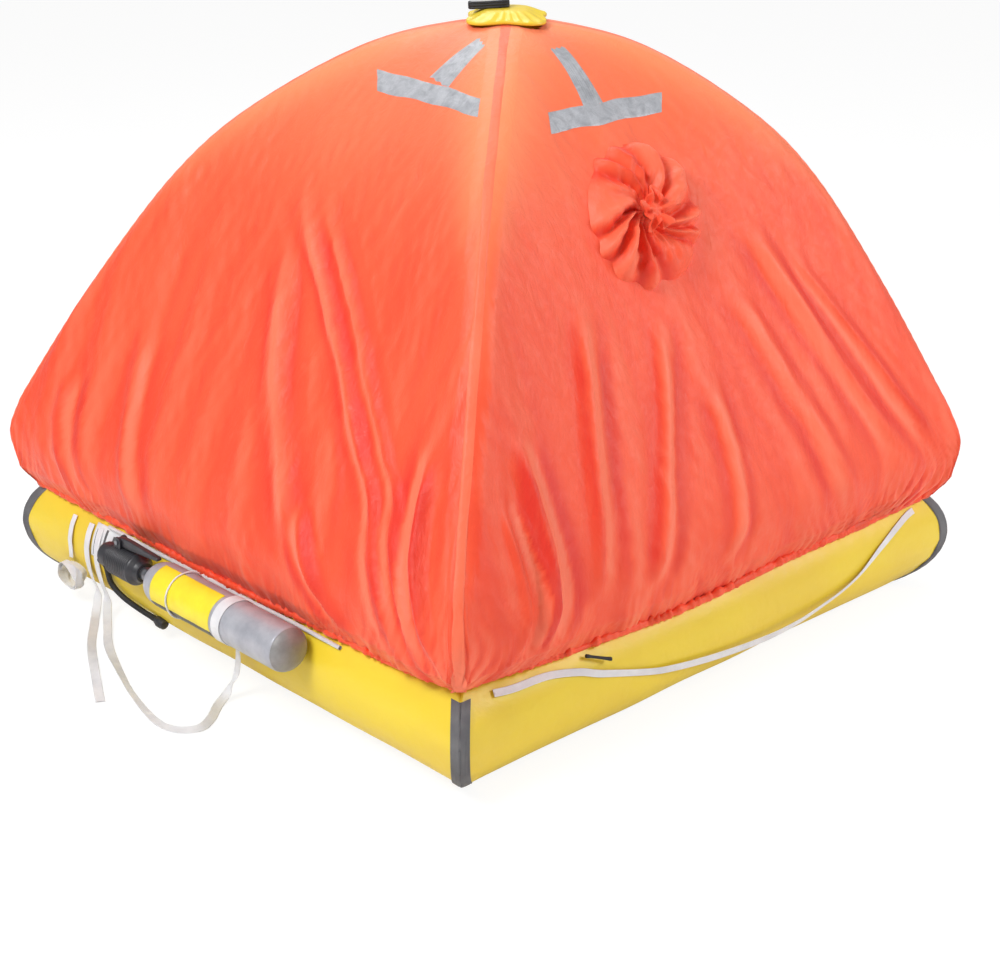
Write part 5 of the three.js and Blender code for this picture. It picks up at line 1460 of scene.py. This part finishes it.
        uv = pair(turn * 0.16, r * 0.16)
        sleeve = make_piece("vent_skirt", points, uv)
        rings = np.array([(0.062, 0.030), (0.075, 0.034), (0.070, 0.039), (0.100, 0.046), (0.200, 0.056),
                          (0.275, 0.059), (0.262, 0.053), (0.13, 0.047), (0.03, 0.050), (0.0, 0.050)])
        rings = catmull(rings, 40)
        flare = smooth(rings[:, :1], 0.07, 0.2)
        frill = 1.0 + flare * (0.22 * np.sin(5 * turn + 0.6) + 0.12 * np.sin(9 * turn + 2.0))
        wide = self.vent_r * rings[:, :1] * frill * 1.05
        height = rings[:, 1:] + 0.010 * flare * np.sin(7 * turn + 1.2) - 0.006 * flare
        a, b = wide * np.cos(turn), wide * np.sin(turn)
        points = middle + a[..., None] * side + b[..., None] * up + height[..., None] * out
        uv = pair(turn * 0.03, rings[:, 1:] + 0 * turn)
        tuft = make_piece("vent_tuft", points, uv)
        # Fold marks for painted light: petal crests painted paler as painted highlight, the hollows between
        # darker as painted shade.
        for cloth, high in ((sleeve, petals * 2.0 - 1.0),
                           (tuft, 0.3 * np.sin(5 * turn + 0.6) + 0.0 * rings[:, :1])):
            away = corners(cloth) - middle
            a, b = away @ side, away @ up
            column = (np.arctan2(b, a) % TAU) / TAU * (high.shape[1] - 1)
            near = np.hypot(a, b) / self.vent_r
            row = np.interp(near, r[::-1, 0], np.arange(len(r))[::-1]) if cloth is sleeve else 0.0 * near
            value = high[np.clip(row.round().astype(int), 0, high.shape[0] - 1), column.round().astype(int)]
            mark_corners(cloth, "fold", np.clip(value, -1.0, 1.0) * 0.8)
        piece = join("vent_sleeve_cloth", [sleeve, tuft])
        settle_piece(piece, CLOTH, Slot.CANOPY, "vent_sleeve")
        ring = np.linspace(0.0, TAU, 73)[:-1]
        ring = np.append(ring, ring[0] + TAU)
        path = middle + 0.0128 * (np.cos(ring)[:, None] * side + np.sin(ring)[:, None] * up) + 0.0335 * out
        outward = unit(path - middle - 0.0335 * out)
        tie = sweep("vent_cord", path, round_section(0.0026, 10), outward)
        settle_piece(tie, WHITE_CORD, Slot.WEBBING, "vent_tie")

    def vent_frame(self) -> tuple[np.ndarray, np.ndarray, np.ndarray, np.ndarray]:
        """Middle, outward, sideways and upward directions of the vent on its panel."""
        half, z = self.outline()
        height = np.array([self.vent[1] - 0.01, self.vent[1], self.vent[1] + 0.01])
        size = np.interp(height, z, half)
        u = np.full(3, (self.vent[0] - 0.0342) / size[1] * FLAT_SHARE)
        points = self.skin(Side.VENT, u, size, height, np.zeros(3))
        up = unit(points[2] - points[0])
        side = X_AXIS
        return points[1], unit(np.cross(side, up)), side, up

    def vent_sag(self, a: np.ndarray, b: np.ndarray) -> np.ndarray:
        """Rise of the panel over the vent's flat plane, as a sum of two squares."""
        return -0.30 * b**2 + 0.045 * a**2 - 0.02 * np.abs(a)

    def build(self) -> None:
        """Builds the panels and everything sewn to them."""
        for side in Side:
            self.panel(side)
        self.ridge_seams()
        self.reflectors()
        self.hem()
        self.vent_sleeve()


@dataclass
class Crown:
    """Lobed patch over the arches' crossing, and the lamp that stands on it."""

    top: float = 1.568
    drop: float = 0.009
    reach: float = 0.122

    def patch(self) -> None:
        """Domed patch whose outline has four lobes, with puckers that run in from its rim."""
        turn = np.linspace(0.0, TAU, 193)[None, :]
        rim_share = [0.965, 0.99, 1.0, 1.0, 0.985, 0.95, 0.5, 0.0]
        rim_sink = [0.0008, 0.0026, 0.0055, 0.0235, 0.0260, 0.0270, 0.0275, 0.0275]
        share = np.concatenate([np.linspace(0.0, 0.93, 26), rim_share])[:, None]
        sink = np.concatenate([np.zeros(26), rim_sink])[:, None]
        rim = 0.1072 + 0.014 * np.cos(4 * turn)
        r = share * rim
        pucker = 0.0016 * np.cos(22 * turn + 2.0 * np.sin(3 * turn)) * smooth(share, 0.45, 0.9)
        pucker = pucker * (sink < 0.002)
        z = self.top - self.drop * (r / self.reach) ** 2
        z = z - 0.014 * smooth(share, 0.45, 1.0) - 0.35 * sink + pucker
        points = np.stack([LEAN[0] + r * np.cos(turn), LEAN[1] + r * np.sin(turn), z], axis=-1)
        uv = pair(r * np.cos(turn), r * np.sin(turn))
        piece = make_piece("crown_dome", points, uv, outward=True)
        settle_piece(piece, TUBE, Slot.TUBE, "crown_patch")

    def frame(self) -> tuple[np.ndarray, np.ndarray, np.ndarray, np.ndarray]:
        """Seat, lengthways, crossways and upward directions of the lamp on the dome."""
        offset = np.array([-0.033, 0.030])
        away = float(np.hypot(*offset))
        tilt = math.atan(2 * self.drop * away / self.reach**2)
        out = offset / away
        seat = np.array([*(LEAN + offset), self.top - self.drop * (away / self.reach) ** 2])
        along = np.array([-out[0] * math.cos(tilt), -out[1] * math.cos(tilt), math.sin(tilt)])
        across = np.array([out[1], -out[0], 0.0])
        return seat, along, across, np.cross(along, across)

    def block(self, name: str, length: float, width: float, profile: list[tuple[float, float]],
              power: float = 4.0) -> bpy.types.Object:
        """Block with a rounded plan, from a profile of inset against height over the dome.

        The plan is a superellipse of the given power: cosine and sine of the turn, each to the
        power of two over it.
        """
        seat, along, across, up = self.frame()
        turn = np.linspace(0.0, TAU, 97)[None, :]
        line = np.array(profile)
        c, s = np.cos(turn), np.sin(turn)
        plan_x = np.sign(c) * np.abs(c) ** (2 / power)
        plan_y = np.sign(s) * np.abs(s) ** (2 / power)
        x = np.maximum(length / 2 - line[:, :1], 0.0) * plan_x
        y = np.maximum(width / 2 - line[:, :1], 0.0) * plan_y
        points = seat + x[..., None] * along + y[..., None] * across + line[:, 1][:, None, None] * up
        uv = pair(turn * 0.03, line[:, 1:])
        return make_piece(name, points, uv, outward=True)

    def lamp(self) -> None:
        """Lamp: black base with two ribs round it, and a clear cover with a raised spine."""
        base = [(0.06, 0.0002), (0.0015, 0.0002), (0.0, 0.0018), (0.0, 0.005), (0.0014, 0.0056),
                (0.0014, 0.0072),
                (0.0, 0.0078), (0.0, 0.0115), (0.0014, 0.0121), (0.0014, 0.0137), (0.0003, 0.0142),
                (0.0006, 0.0160),
                (0.0024, 0.0170), (0.06, 0.0170)]
        piece = self.block("lamp_foot", 0.104, 0.046, base)
        settle_piece(piece, RUBBER, Slot.BLACK, "lamp_base")
        lens = [(0.06, 0.0174), (0.0012, 0.0174), (0.0, 0.0190), (0.0004, 0.0240), (0.0016, 0.0290),
                (0.0042, 0.0330),
                (0.0084, 0.0352), (0.0130, 0.0356), (0.0148, 0.0366), (0.06, 0.0366)]
        piece = self.block("lamp_cover", 0.094, 0.036, lens, 3.2)
        settle_piece(piece, LAMP_CLEAR, Slot.LENS, "lamp_lens")

    def build(self) -> None:
        """Builds the patch and the lamp."""
        self.patch()
        self.lamp()


@dataclass
class Doorway:
    """Rolled door flap over the doorway and the two ties that hold it up."""

    middle: tuple[float, float, float] = (0.029, 0.5168, 1.2408)
    length: float = 0.620
    radius: float = 0.0346
    tie_place: float = 0.210

    def roll(self) -> None:
        """Rolled cloth: a spiral of three and a half turns, pinched where the ties grip it."""
        x = np.linspace(-0.5, 0.5, 140)[None, :] * self.length
        turns = np.linspace(0.0, 3.4, 150)
        share = turns / turns[-1]
        pinch = 1.0 - 0.13 * (bump(x - self.tie_place, 0.020) + bump(x + self.tie_place, 0.020))
        wave = 1.0 + 0.045 * ripples(x, 0.04 * turns[:, None], 17, 9, 0.04, 0.2, 0.1, 0.5)
        spiral = 0.006 + (self.radius - 0.009) * share[:, None] ** 0.75
        skins = []
        for gap in (0.0, 0.0011):
            r = np.minimum((spiral - gap) * pinch * wave, self.radius)
            turn = TAU * turns[:, None] + 1.1 + 0.25 * np.sin(x * 9.0)
            x0, y0, z0 = self.middle
            place = np.broadcast_arrays(x0 + x, y0 + r * np.cos(turn), z0 + r * np.sin(turn))
            skins.append(np.stack(place, axis=-1))
        outer, inner = skins
        points = np.concatenate([outer, inner[::-1], outer[:1]])
        points = np.concatenate([points[:, :1], points, points[:, -1:]], axis=1)
        run = np.concatenate([share, share[::-1], share[:1]])[:, None] * 0.45
        uv = pair(np.concatenate([x[:, :1], x, x[:, -1:]], axis=1), run)
        piece = make_piece("door_roll_cloth", points, uv)
        self.close_ends(piece, outer, inner)
        settle_piece(piece, CLOTH, Slot.CANOPY, "door_flap_roll")

    @staticmethod
    def close_ends(piece: bpy.types.Object, outer: np.ndarray, inner: np.ndarray) -> None:
        """Closes the two ends of the roll between its skins and joins them to it."""
        strips = []
        for number, column in enumerate((0, -1)):
            strip = np.stack([outer[:, column], inner[:, column]], axis=1)
            strip = strip if number else strip[:, ::-1]
            strips.append(make_piece(f"roll_end_{number}", strip, np.zeros((*strip.shape[:2], 2))))
        weld_mesh(join(piece.name, [piece, *strips]).data, 1e-5)

    def ties(self) -> None:
        """Flat ties round the roll, each a closed band round it."""
        turn = np.linspace(0.0, TAU, 97)
        for place, label in ((-self.tie_place, "left"), (self.tie_place, "right")):
            r = 0.0338 + 0.0004 * np.sin(5 * turn)
            x = self.middle[0] + place + 0.0012 * np.sin(3 * turn)
            path = np.stack([x, self.middle[1] + r * np.cos(turn), self.middle[2] + r * np.sin(turn)], axis=1)
            outward = unit(path - np.array([self.middle[0] + place, *self.middle[1:]]))
            band = sweep(f"tie_band_{label}", path, flat_section(0.024, 0.0014), outward)
            settle_piece(band, WHITE_WEB, Slot.WEBBING, f"door_tie_{label}")

    def edge(self) -> None:
        """Seam tape round the doorway: a narrow strip that stands on the cloth at its edge."""
        canopy = Canopy()
        low, high, half, bend = canopy.door_sill, canopy.door_top, canopy.door_half, canopy.door_round
        turn = np.linspace(0.0, math.pi / 2, 30)
        c, s = np.cos(turn) ** (2 / 1.75), np.sin(turn) ** (2 / 1.75)
        right = np.stack([half - bend + bend * c, high - bend + bend * s], axis=1)
        left = right[::-1] * np.array([-1.0, 1.0])
        loop = np.vstack([[(0.0, low), (half, low)], right, left, [(-half, low), (0.0, low)]])
        line = catmull(loop, 420)
        outward = unit(line - np.array([0.0, (low + high) / 2]))
        sizes, heights = canopy.outline()
        rows = []
        for place, lift in ((-0.004, -0.0012), (-0.0045, 0.0016), (0.0, 0.0026), (0.010, 0.0022),
                           (0.0155, 0.0008)):
            at = line + place * outward
            size = np.interp(at[:, 1], heights, sizes)
            lean = canopy.lean(at[:, 1])
            u = (-at[:, 0] + lean[:, 0]) / size * FLAT_SHARE
            relief = canopy.relief(Side.ENTRANCE, u, size, at[:, 1])
            rows.append(canopy.skin(Side.ENTRANCE, u, size, at[:, 1], relief + lift))
        points = np.stack(rows)
        run = np.linspace(0.0, 3.2, points.shape[1])
        uv = pair(np.array([0.0, 0.002, 0.006, 0.016, 0.021])[:, None], run)
        piece = make_piece("door_edge_tape", points, uv)
        settle_piece(piece, SEAM, Slot.CANOPY)

    def build(self) -> None:
        """Builds the roll, its ties and the doorway's edge."""
        self.roll()
        self.ties()
        self.edge()


# Gas bottle and fittings ---------------------------------------------------------------------


def on_bottle_axis(name: str, profile: list[tuple[float, float]], segments: int = 72,
                   sharp: float = 0.0015) -> bpy.types.Object:
    """Turned piece about the bottle's axis, from radius against place along Y."""
    start = np.array([BOTTLE_X, 0.0, BOTTLE_Z])
    return lathe(name, profile, start, Y_AXIS, segments, sharp)


def plate(name: str, outline: np.ndarray, thickness: float, soften: float, origin: np.ndarray,
          a: np.ndarray, b: np.ndarray) -> bpy.types.Object:
    """Flat plate of a closed outline with softened edges.

    Args:
        name: name of the piece.
        outline: points of the outline in the plate's two axes, anticlockwise.
        thickness: the plate's thickness.
        soften: how far its edges are rounded.
        origin: middle of the plate's thickness at the outline's origin.
        a: direction of the outline's first axis.
        b: direction of its second axis.

    Returns:
        The piece, closed.
    """
    ring = np.vstack([outline, outline[:1]])
    ahead = np.roll(outline, -1, axis=0) - np.roll(outline, 1, axis=0)
    normal = unit(np.stack([ahead[:, 1], -ahead[:, 0]], axis=1))
    normal = np.vstack([normal, normal[:1]])
    middle = outline.mean(axis=0)
    turn = np.linspace(0.0, math.pi / 2, 5)
    half = thickness / 2
    steps = [(soften * (1 - math.sin(t)), -half + soften * (1 - math.cos(t))) for t in turn]
    steps = steps + [(inset, -height) for inset, height in steps[::-1]]
    rows = [np.column_stack([np.repeat(middle[None, :], len(ring), axis=0), np.full(len(ring), -half)])]
    rows += [np.column_stack([ring - inset * normal, np.full(len(ring), height)]) for inset, height in steps]
    rows += [np.column_stack([np.repeat(middle[None, :], len(ring), axis=0), np.full(len(ring), half)])]
    local = np.stack(rows)
    points = origin + local[..., :1] * a + local[..., 1:2] * b + local[..., 2:] * np.cross(a, b)
    return make_piece(name, points, local[..., :2], outward=True)


@dataclass
class GasBottle:
    """Gas bottle on the tube's shoulder, with its label, strap, tie, head, lever and hose."""

    end: float = -0.385
    shoulder: float = 0.135
    neck: float = 0.188
    pivot_y: float = 0.335
    pivot_rise: float = 0.056

    def body(self) -> None:
        """Bottle: a drawn wall, a round end painted darker grey as painted shade, and a shoulder down to the
        neck.
        """
        turn = np.linspace(0.0, math.pi / 2, 16)
        seam = self.end + 0.030
        dome = [(BOTTLE_R * math.sin(t), self.end + 0.042 * (1 - math.cos(t))) for t in turn]
        low = [p for p in dome if p[1] <= seam] + [(BOTTLE_R * 0.962, seam)]
        wall = [(BOTTLE_R * 0.962, seam)] + [p for p in dome if p[1] > seam]
        wall += [(BOTTLE_R + 0.0003, -0.330), (BOTTLE_R, -0.328), (BOTTLE_R, self.shoulder - 0.004)]
        wall += [(0.024 + (BOTTLE_R - 0.024) * math.cos(t), self.shoulder + 0.053 * math.sin(t))
                 for t in turn]
        wall += [(0.0245, 0.1878), (0.0, 0.1878)]
        # The round end takes a darker grey: painted shade of the dome.
        end = on_bottle_axis("bottle_round_end", low + [(0.0, seam)], 96, 0.0)
        settle_piece(end, DOME_PAINTED_SHADE, Slot.METAL)
        piece = on_bottle_axis("bottle_wall", [(0.0, seam), *wall], 96, 0.0)
        settle_piece(piece, BOTTLE_PAINT, Slot.METAL, "gas_bottle")
        neck = [(0.0, 0.1883), (0.0220, 0.1883), (0.0222, 0.1925), (0.0212, 0.1935), (0.0222, 0.1945),
                (0.0222, 0.2000),
                (0.0212, 0.2010), (0.0220, 0.2020), (0.0186, 0.2075), (0.0176, 0.2100), (0.0180, 0.2130),
                (0.0174, 0.2150), (0.0180, 0.2170), (0.0174, 0.2190), (0.0180, 0.2210),
                (0.0176, 0.2337), (0.0, 0.2337)]
        piece = on_bottle_axis("bottle_collar", neck, 64, 0.0004)
        settle_piece(piece, NECK_METAL, Slot.METAL, "bottle_valve")

    def skin(self, name: str, y: np.ndarray, turn: np.ndarray, lift: np.ndarray) -> bpy.types.Object:
        """Sheet that lies round the bottle between two places and two turns from outward."""
        ys, turns = np.meshgrid(y, turn)
        r = BOTTLE_R + lift
        x = BOTTLE_X - r * np.cos(turns)
        points = np.stack([x, ys, BOTTLE_Z + r * np.sin(turns)], axis=-1)
        return make_piece(name, points, np.stack([ys, turns * BOTTLE_R], axis=-1))

    def label(self) -> None:
        """Bare label: a yellow field on the outer half, with a plain black band along its foot."""
        y = np.concatenate([[-0.116], np.linspace(-0.116, 0.130, 60), [0.130]])
        for name, finish, low, high in (("label_field", LABEL, -22.0, 88.0),
                                       ("label_foot", LABEL_BAND, -88.0, -22.0)):
            turn = np.radians(np.concatenate([[low], np.linspace(low, high, 60), [high]]))
            rim = np.ones((len(turn), len(y)))
            rim[[0, -1], :] = 0.0
            rim[:, [0, -1]] = 0.0
            bubble = 0.00018 * ripples(turn[:, None] * BOTTLE_R, y[None, :], 44, 9, 0.01, 0.05)
            piece = self.skin(name, y, turn, rim * (0.0007 + bubble) + (1 - rim) * 0.0001)
            settle_piece(piece, finish, Slot.LABEL, *(("bottle_label",) if finish is LABEL else ()))

    def bands(self) -> None:
        """Webbing strap and thin tie round the bottle, both pulled into the tube."""
        turn = np.linspace(0.0, TAU, 121)
        for name, node, y, section, gap in (
                ("bottle_band", "bottle_strap", -0.145, flat_section(0.034, 0.0020), 0.0013),
                ("bottle_lashing", "bottle_tie", 0.055, round_section(0.0024, 12), 0.0033)):
            r = BOTTLE_R + gap + 0.0002 * np.sin(7 * turn)
            across = y + 0.0012 * np.sin(turn * 2 + 1.0)
            path = np.stack([BOTTLE_X - r * np.cos(turn), across, BOTTLE_Z + r * np.sin(turn)], axis=1)
            outward = unit(path - np.array([BOTTLE_X, y, BOTTLE_Z]))
            settle_piece(sweep(name, path, section, outward), WHITE_WEB, Slot.WEBBING, node)

    def head(self) -> None:
        """Operating head: a turned body with grip ribs, an end cap, two lugs and the hose's boss."""
        profile = [(0.0, 0.234), (0.0255, 0.234), (0.0262, 0.238), (0.0300, 0.2475), (0.0400, 0.2580),
                   (0.0420, 0.2610)]
        ribs = np.linspace(0.264, 0.350, 12)
        for y in ribs:
            profile += [(0.0420, y), (0.0420, y + 0.0042), (0.0407, y + 0.0048), (0.0407, y + 0.0064)]
        profile += [(0.0420, 0.3575), (0.0362, 0.3615), (0.0330, 0.3640), (0.0330, 0.3700),
                    (0.0316, 0.3712),
                    (0.0316, 0.3735), (0.0330, 0.3747), (0.0330, 0.4010), (0.0300, 0.4075),
                    (0.0250, 0.4110),
                    (0.0236, 0.4120), (0.0, 0.4120)]
        body = on_bottle_axis("head_body", profile, 80, 0.0006)
        pivot_z = BOTTLE_Z + self.pivot_rise
        arc = np.linspace(0.0, math.pi, 30)
        outline = [(-0.014, -0.034),
                   (0.014, -0.034)] + [(0.014 * math.cos(t), 0.014 * math.sin(t)) for t in arc]
        pieces = [body]
        for sign in (-1, 1):
            origin = np.array([BOTTLE_X + sign * 0.01035, self.pivot_y, pivot_z])
            pieces.append(plate("lug", np.array(outline), 0.0060, 0.0009, origin, Y_AXIS,
                                Z_AXIS))
        start = np.array([BOTTLE_X - 0.004, 0.3735, BOTTLE_Z - 0.020])
        boss = [(0.0, 0.0), (0.012, 0.0), (0.012, 0.026), (0.0106, 0.028), (0.0106, 0.031), (0.012, 0.033),
                (0.012, 0.0385), (0.0112, 0.0398), (0.0, 0.0398)]
        pieces.append(lathe("boss", boss, start, Y_AXIS, 40, 0.0006))
        piece = join("head_casing", pieces)
        settle_piece(piece, BLACK, Slot.BLACK, "operating_head")

    def lever(self) -> None:
        """Firing lever: a flat arm with a round eye, which moves with its own body."""
        origin = np.array([BOTTLE_X, self.pivot_y, BOTTLE_Z + self.pivot_rise])
        eye = [(0.012 * math.cos(t), 0.012 * math.sin(t))
               for t in np.linspace(math.pi / 2, 1.5 * math.pi, 28)]
        low = [(0.020, -0.0115), (0.040, -0.011), (0.090, -0.0072), (0.140, -0.003), (0.168, -0.001)]
        tip = [(0.1715, 0.0015), (0.1722, 0.004), (0.1715, 0.0065), (0.168, 0.009)]
        high = [(0.140, 0.0105), (0.100, 0.0128), (0.060, 0.015), (0.040, 0.0156), (0.020, 0.0150),
                (0.008, 0.0130)]
        outline = np.array(eye + low + tip + high)
        away = np.array([0.0, -1.0, 0.0])
        arm = plate("lever_arm", outline, 0.014, 0.0022, origin, away, Z_AXIS)
        settle_piece(arm, BLACK, Slot.BLACK, "firing_lever", body="firing_lever")
        pin = [(0.0, -0.01735), (0.0060, -0.01735), (0.0064, -0.0165), (0.0064, -0.01365),
               (0.0040, -0.01365),
               (0.0040, 0.01365), (0.0064, 0.01365), (0.0064, 0.0165), (0.0060, 0.01735), (0.0, 0.01735)]
        piece = lathe("pivot_pin", pin, origin, X_AXIS, 40, 0.0004)
        settle_piece(piece, NECK_METAL, Slot.METAL, "lever_pin")

    @staticmethod
    def beside_tube(y: float, angle: float, away: float) -> np.ndarray:
        """Point beside the lower tube on the bottle's side, at an angle up from outward."""
        t = math.radians(angle)
        return np.array([-(LOWER_MID + away * math.cos(t)), y, LOWER_R + away * math.sin(t)])

    def hose(self) -> None:
        """Inflation hose: ribbed rubber from the head round the tube, with a ferrule and inlet."""
        lay = LOWER_R + 0.0105
        points = np.array([
            (BOTTLE_X - 0.004, 0.418, BOTTLE_Z - 0.020), (BOTTLE_X - 0.002, 0.440, BOTTLE_Z - 0.030),
            self.beside_tube(0.464, 4.0, lay + 0.006), self.beside_tube(0.462, -14.0, lay),
            self.beside_tube(0.430, -26.0, lay), self.beside_tube(0.370, -34.0, lay),
            self.beside_tube(0.305, -38.0, lay)])
        path = catmull(points, 300)
        up = np.tile(np.array([0.3, 0.1, 1.0]), (len(path), 1))
        rib = 1.0 + 0.035 * np.sign(np.sin(np.linspace(0.0, TAU * 60, 300)))
        rib[:16] = 1.12
        rib[-16:] = 1.12
        piece = sweep("filling_hose", path, round_section(0.0076, 20), up, rib)
        settle_piece(piece, RUBBER, Slot.BLACK, "inflation_hose")
        heading = unit(points[-1] - points[-2])
        boss = [(0.0, 0.0), (0.0105, 0.0), (0.0115, 0.001), (0.0115, 0.008), (0.0146, 0.0092),
                (0.0150, 0.011),
                (0.0150, 0.0235), (0.0138, 0.025), (0.0138, 0.032), (0.0125, 0.0338), (0.0, 0.0338)]
        piece = lathe("inlet_elbow", boss, points[-1] + heading * 0.0012, heading, 48, 0.0005)
        settle_piece(piece, BLACK, Slot.BLACK, "hose_inlet")

    def build(self) -> None:
        """Builds the bottle and everything on it."""
        self.body()
        self.label()
        self.bands()
        self.head()
        self.lever()
        self.hose()


@dataclass
class Fittings:
    """Topping-up and relief valves, boarding ladder and the barred patch."""

    place: float = 0.380
    ladder_half: float = 0.150

    def topping(self, level: str, inner: float, z: float) -> None:
        """Topping-up valve on an inner face, and its lobed cap on its own body."""
        seat = np.array([-self.place, inner, z])
        axis = np.array([0.0, -1.0, 0.0])
        body = [(0.0, 0.0003), (0.0298, 0.0003), (0.0300, 0.0012), (0.0296, 0.0028), (0.0280, 0.0032),
                (0.0235, 0.0038),
                (0.0218, 0.0046), (0.0200, 0.0062), (0.0200, 0.0080), (0.0190, 0.0086), (0.0190, 0.0098),
                (0.0200, 0.0104), (0.0200, 0.0119), (0.0, 0.0119)]
        piece = lathe(f"valve_body_{level}", body, seat, axis, 64, 0.0004)
        settle_piece(piece, RUBBER, Slot.BLACK, f"topping_valve_{level}")
        turn = np.arange(144) * TAU / 144
        r = 0.0155 + 0.0015 * np.cos(6 * turn)
        outline = np.stack([r * np.cos(turn), r * np.sin(turn)], axis=1)
        cap = plate(f"cap_{level}", outline, 0.009, 0.0014, seat + axis * 0.0168, X_AXIS,
                    Z_AXIS)
        name = f"topping_cap_{level}"
        settle_piece(cap, CAP_GREY, Slot.CAP, name, body=name)

    def relief(self, level: str, inner: float, z: float) -> None:
        """Pressure relief valve on an inner face, with a stepped cover."""
        profile = [(0.0, 0.0003), (0.0298, 0.0003), (0.0300, 0.0012), (0.0296, 0.0028), (0.0250, 0.0038),
                   (0.0225, 0.0050), (0.0220, 0.0098), (0.0190, 0.0118), (0.0178, 0.0112), (0.0162, 0.0130),
                   (0.0140, 0.0149), (0.0100, 0.0149), (0.0092, 0.0138), (0.0, 0.0138)]
        seat = np.array([inner, 0.0, z])
        piece = lathe(f"relief_body_{level}", profile, seat, -X_AXIS, 64, 0.0004)
        settle_piece(piece, RUBBER, Slot.BLACK, f"relief_valve_{level}")

    @staticmethod
    def on_tube(side: Side, along: np.ndarray, angle: np.ndarray, lift: float) -> np.ndarray:
        """Points on the lower tube's outer skin, from the angle up from outward."""
        r = LOWER_R + lift
        return side.place(along, LOWER_MID + r * np.cos(angle), LOWER_R + r * np.sin(angle))

    def ladder(self) -> None:
        """Boarding ladder: two upright webbings and three rungs, sewn flat to the tube."""
        angle = np.radians(np.linspace(-60.0, 37.0, 90))
        pieces = []
        for along in (-self.ladder_half, self.ladder_half):
            path = self.on_tube(Side.ENTRANCE, along + 0.0015 * np.sin(angle * 5), angle, 0.0016)
            outward = unit(self.on_tube(Side.ENTRANCE, np.full_like(angle, along), angle, 1.0) - path)
            pieces.append(sweep(f"ladder_side_{along}", path, flat_section(0.035, 0.0022), outward))
        reach = np.linspace(-self.ladder_half, self.ladder_half, 60)
        for z in (0.0468, 0.1233, 0.1998):
            tilt = math.asin((z - LOWER_R) / LOWER_R)
            sag = tilt - 0.03 * (1 - (reach / self.ladder_half) ** 2)
            path = self.on_tube(Side.ENTRANCE, reach, sag, 0.0022)
            outward = unit(self.on_tube(Side.ENTRANCE, reach, sag, 1.0) - path)
            pieces.append(sweep(f"ladder_rung_{z}", path, flat_section(0.038, 0.0020), outward))
        piece = join("ladder_webbing", pieces)
        settle_piece(piece, WHITE_WEB, Slot.WEBBING, "boarding_ladder")

    def barred(self) -> None:
        """White patch beside the head, with four plain dark bars that stand on it."""
        pieces = [("patch_field", PATCH_WHITE, 0.412, 0.560, 3.0, 37.0, 0.0009, "barred_patch")]
        for k, start in enumerate((0.430, 0.466, 0.502, 0.541)):
            high = 34.0 - 3 * (k % 2)
            pieces.append((f"patch_bar_{k + 1}", CAP_GREY, start, start + 0.009, 5.0, high, 0.0013, ""))
        for name, finish, start, stop, low, high, lift, node in pieces:
            along = -np.concatenate([[start], np.linspace(start, stop, 40), [stop]])[None, :]
            angle = np.radians(np.concatenate([[low], np.linspace(low, high, 30), [high]]))[:, None]
            rim = np.ones((angle.size, along.size))
            rim[[0, -1], :] = 0.0
            rim[:, [0, -1]] = 0.0
            points = self.on_tube(Side.BOTTLE, *np.broadcast_arrays(along, angle), 0.0)
            out = self.on_tube(Side.BOTTLE, *np.broadcast_arrays(along, angle), 1.0) - points
            points = points + unit(out) * (rim * lift)[..., None]
            uv = pair(along, angle * LOWER_R)
            piece = make_piece(name, points, uv)
            settle_piece(piece, finish, Slot.REFLECTOR, *((node,) if node else ()))

    def build(self) -> None:
        """Builds the valves, the ladder and the patch."""
        for level, middle, radius, z in (("lower", LOWER_MID, LOWER_R, LOWER_R),
                                         ("upper", UPPER_MID, UPPER_R, UPPER_Z)):
            self.topping(level, middle - radius, z)
            self.relief(level, middle - radius, z)
        self.ladder()
        self.barred()


def main() -> None:
    """Builds the studio, then the cords, tubes, floor, canopy, bottle and fittings."""
    logging.basicConfig(level=logging.INFO, format="%(message)s")
    for part in (Studio(), Rigging(), BuoyancyTubes(), Floor(), Canopy(), Crown(), Doorway(), GasBottle(),
                 Fittings()):
        LOG.info("building %s", type(part).__name__)
        part.build()


if __name__ == "__main__":
    main()
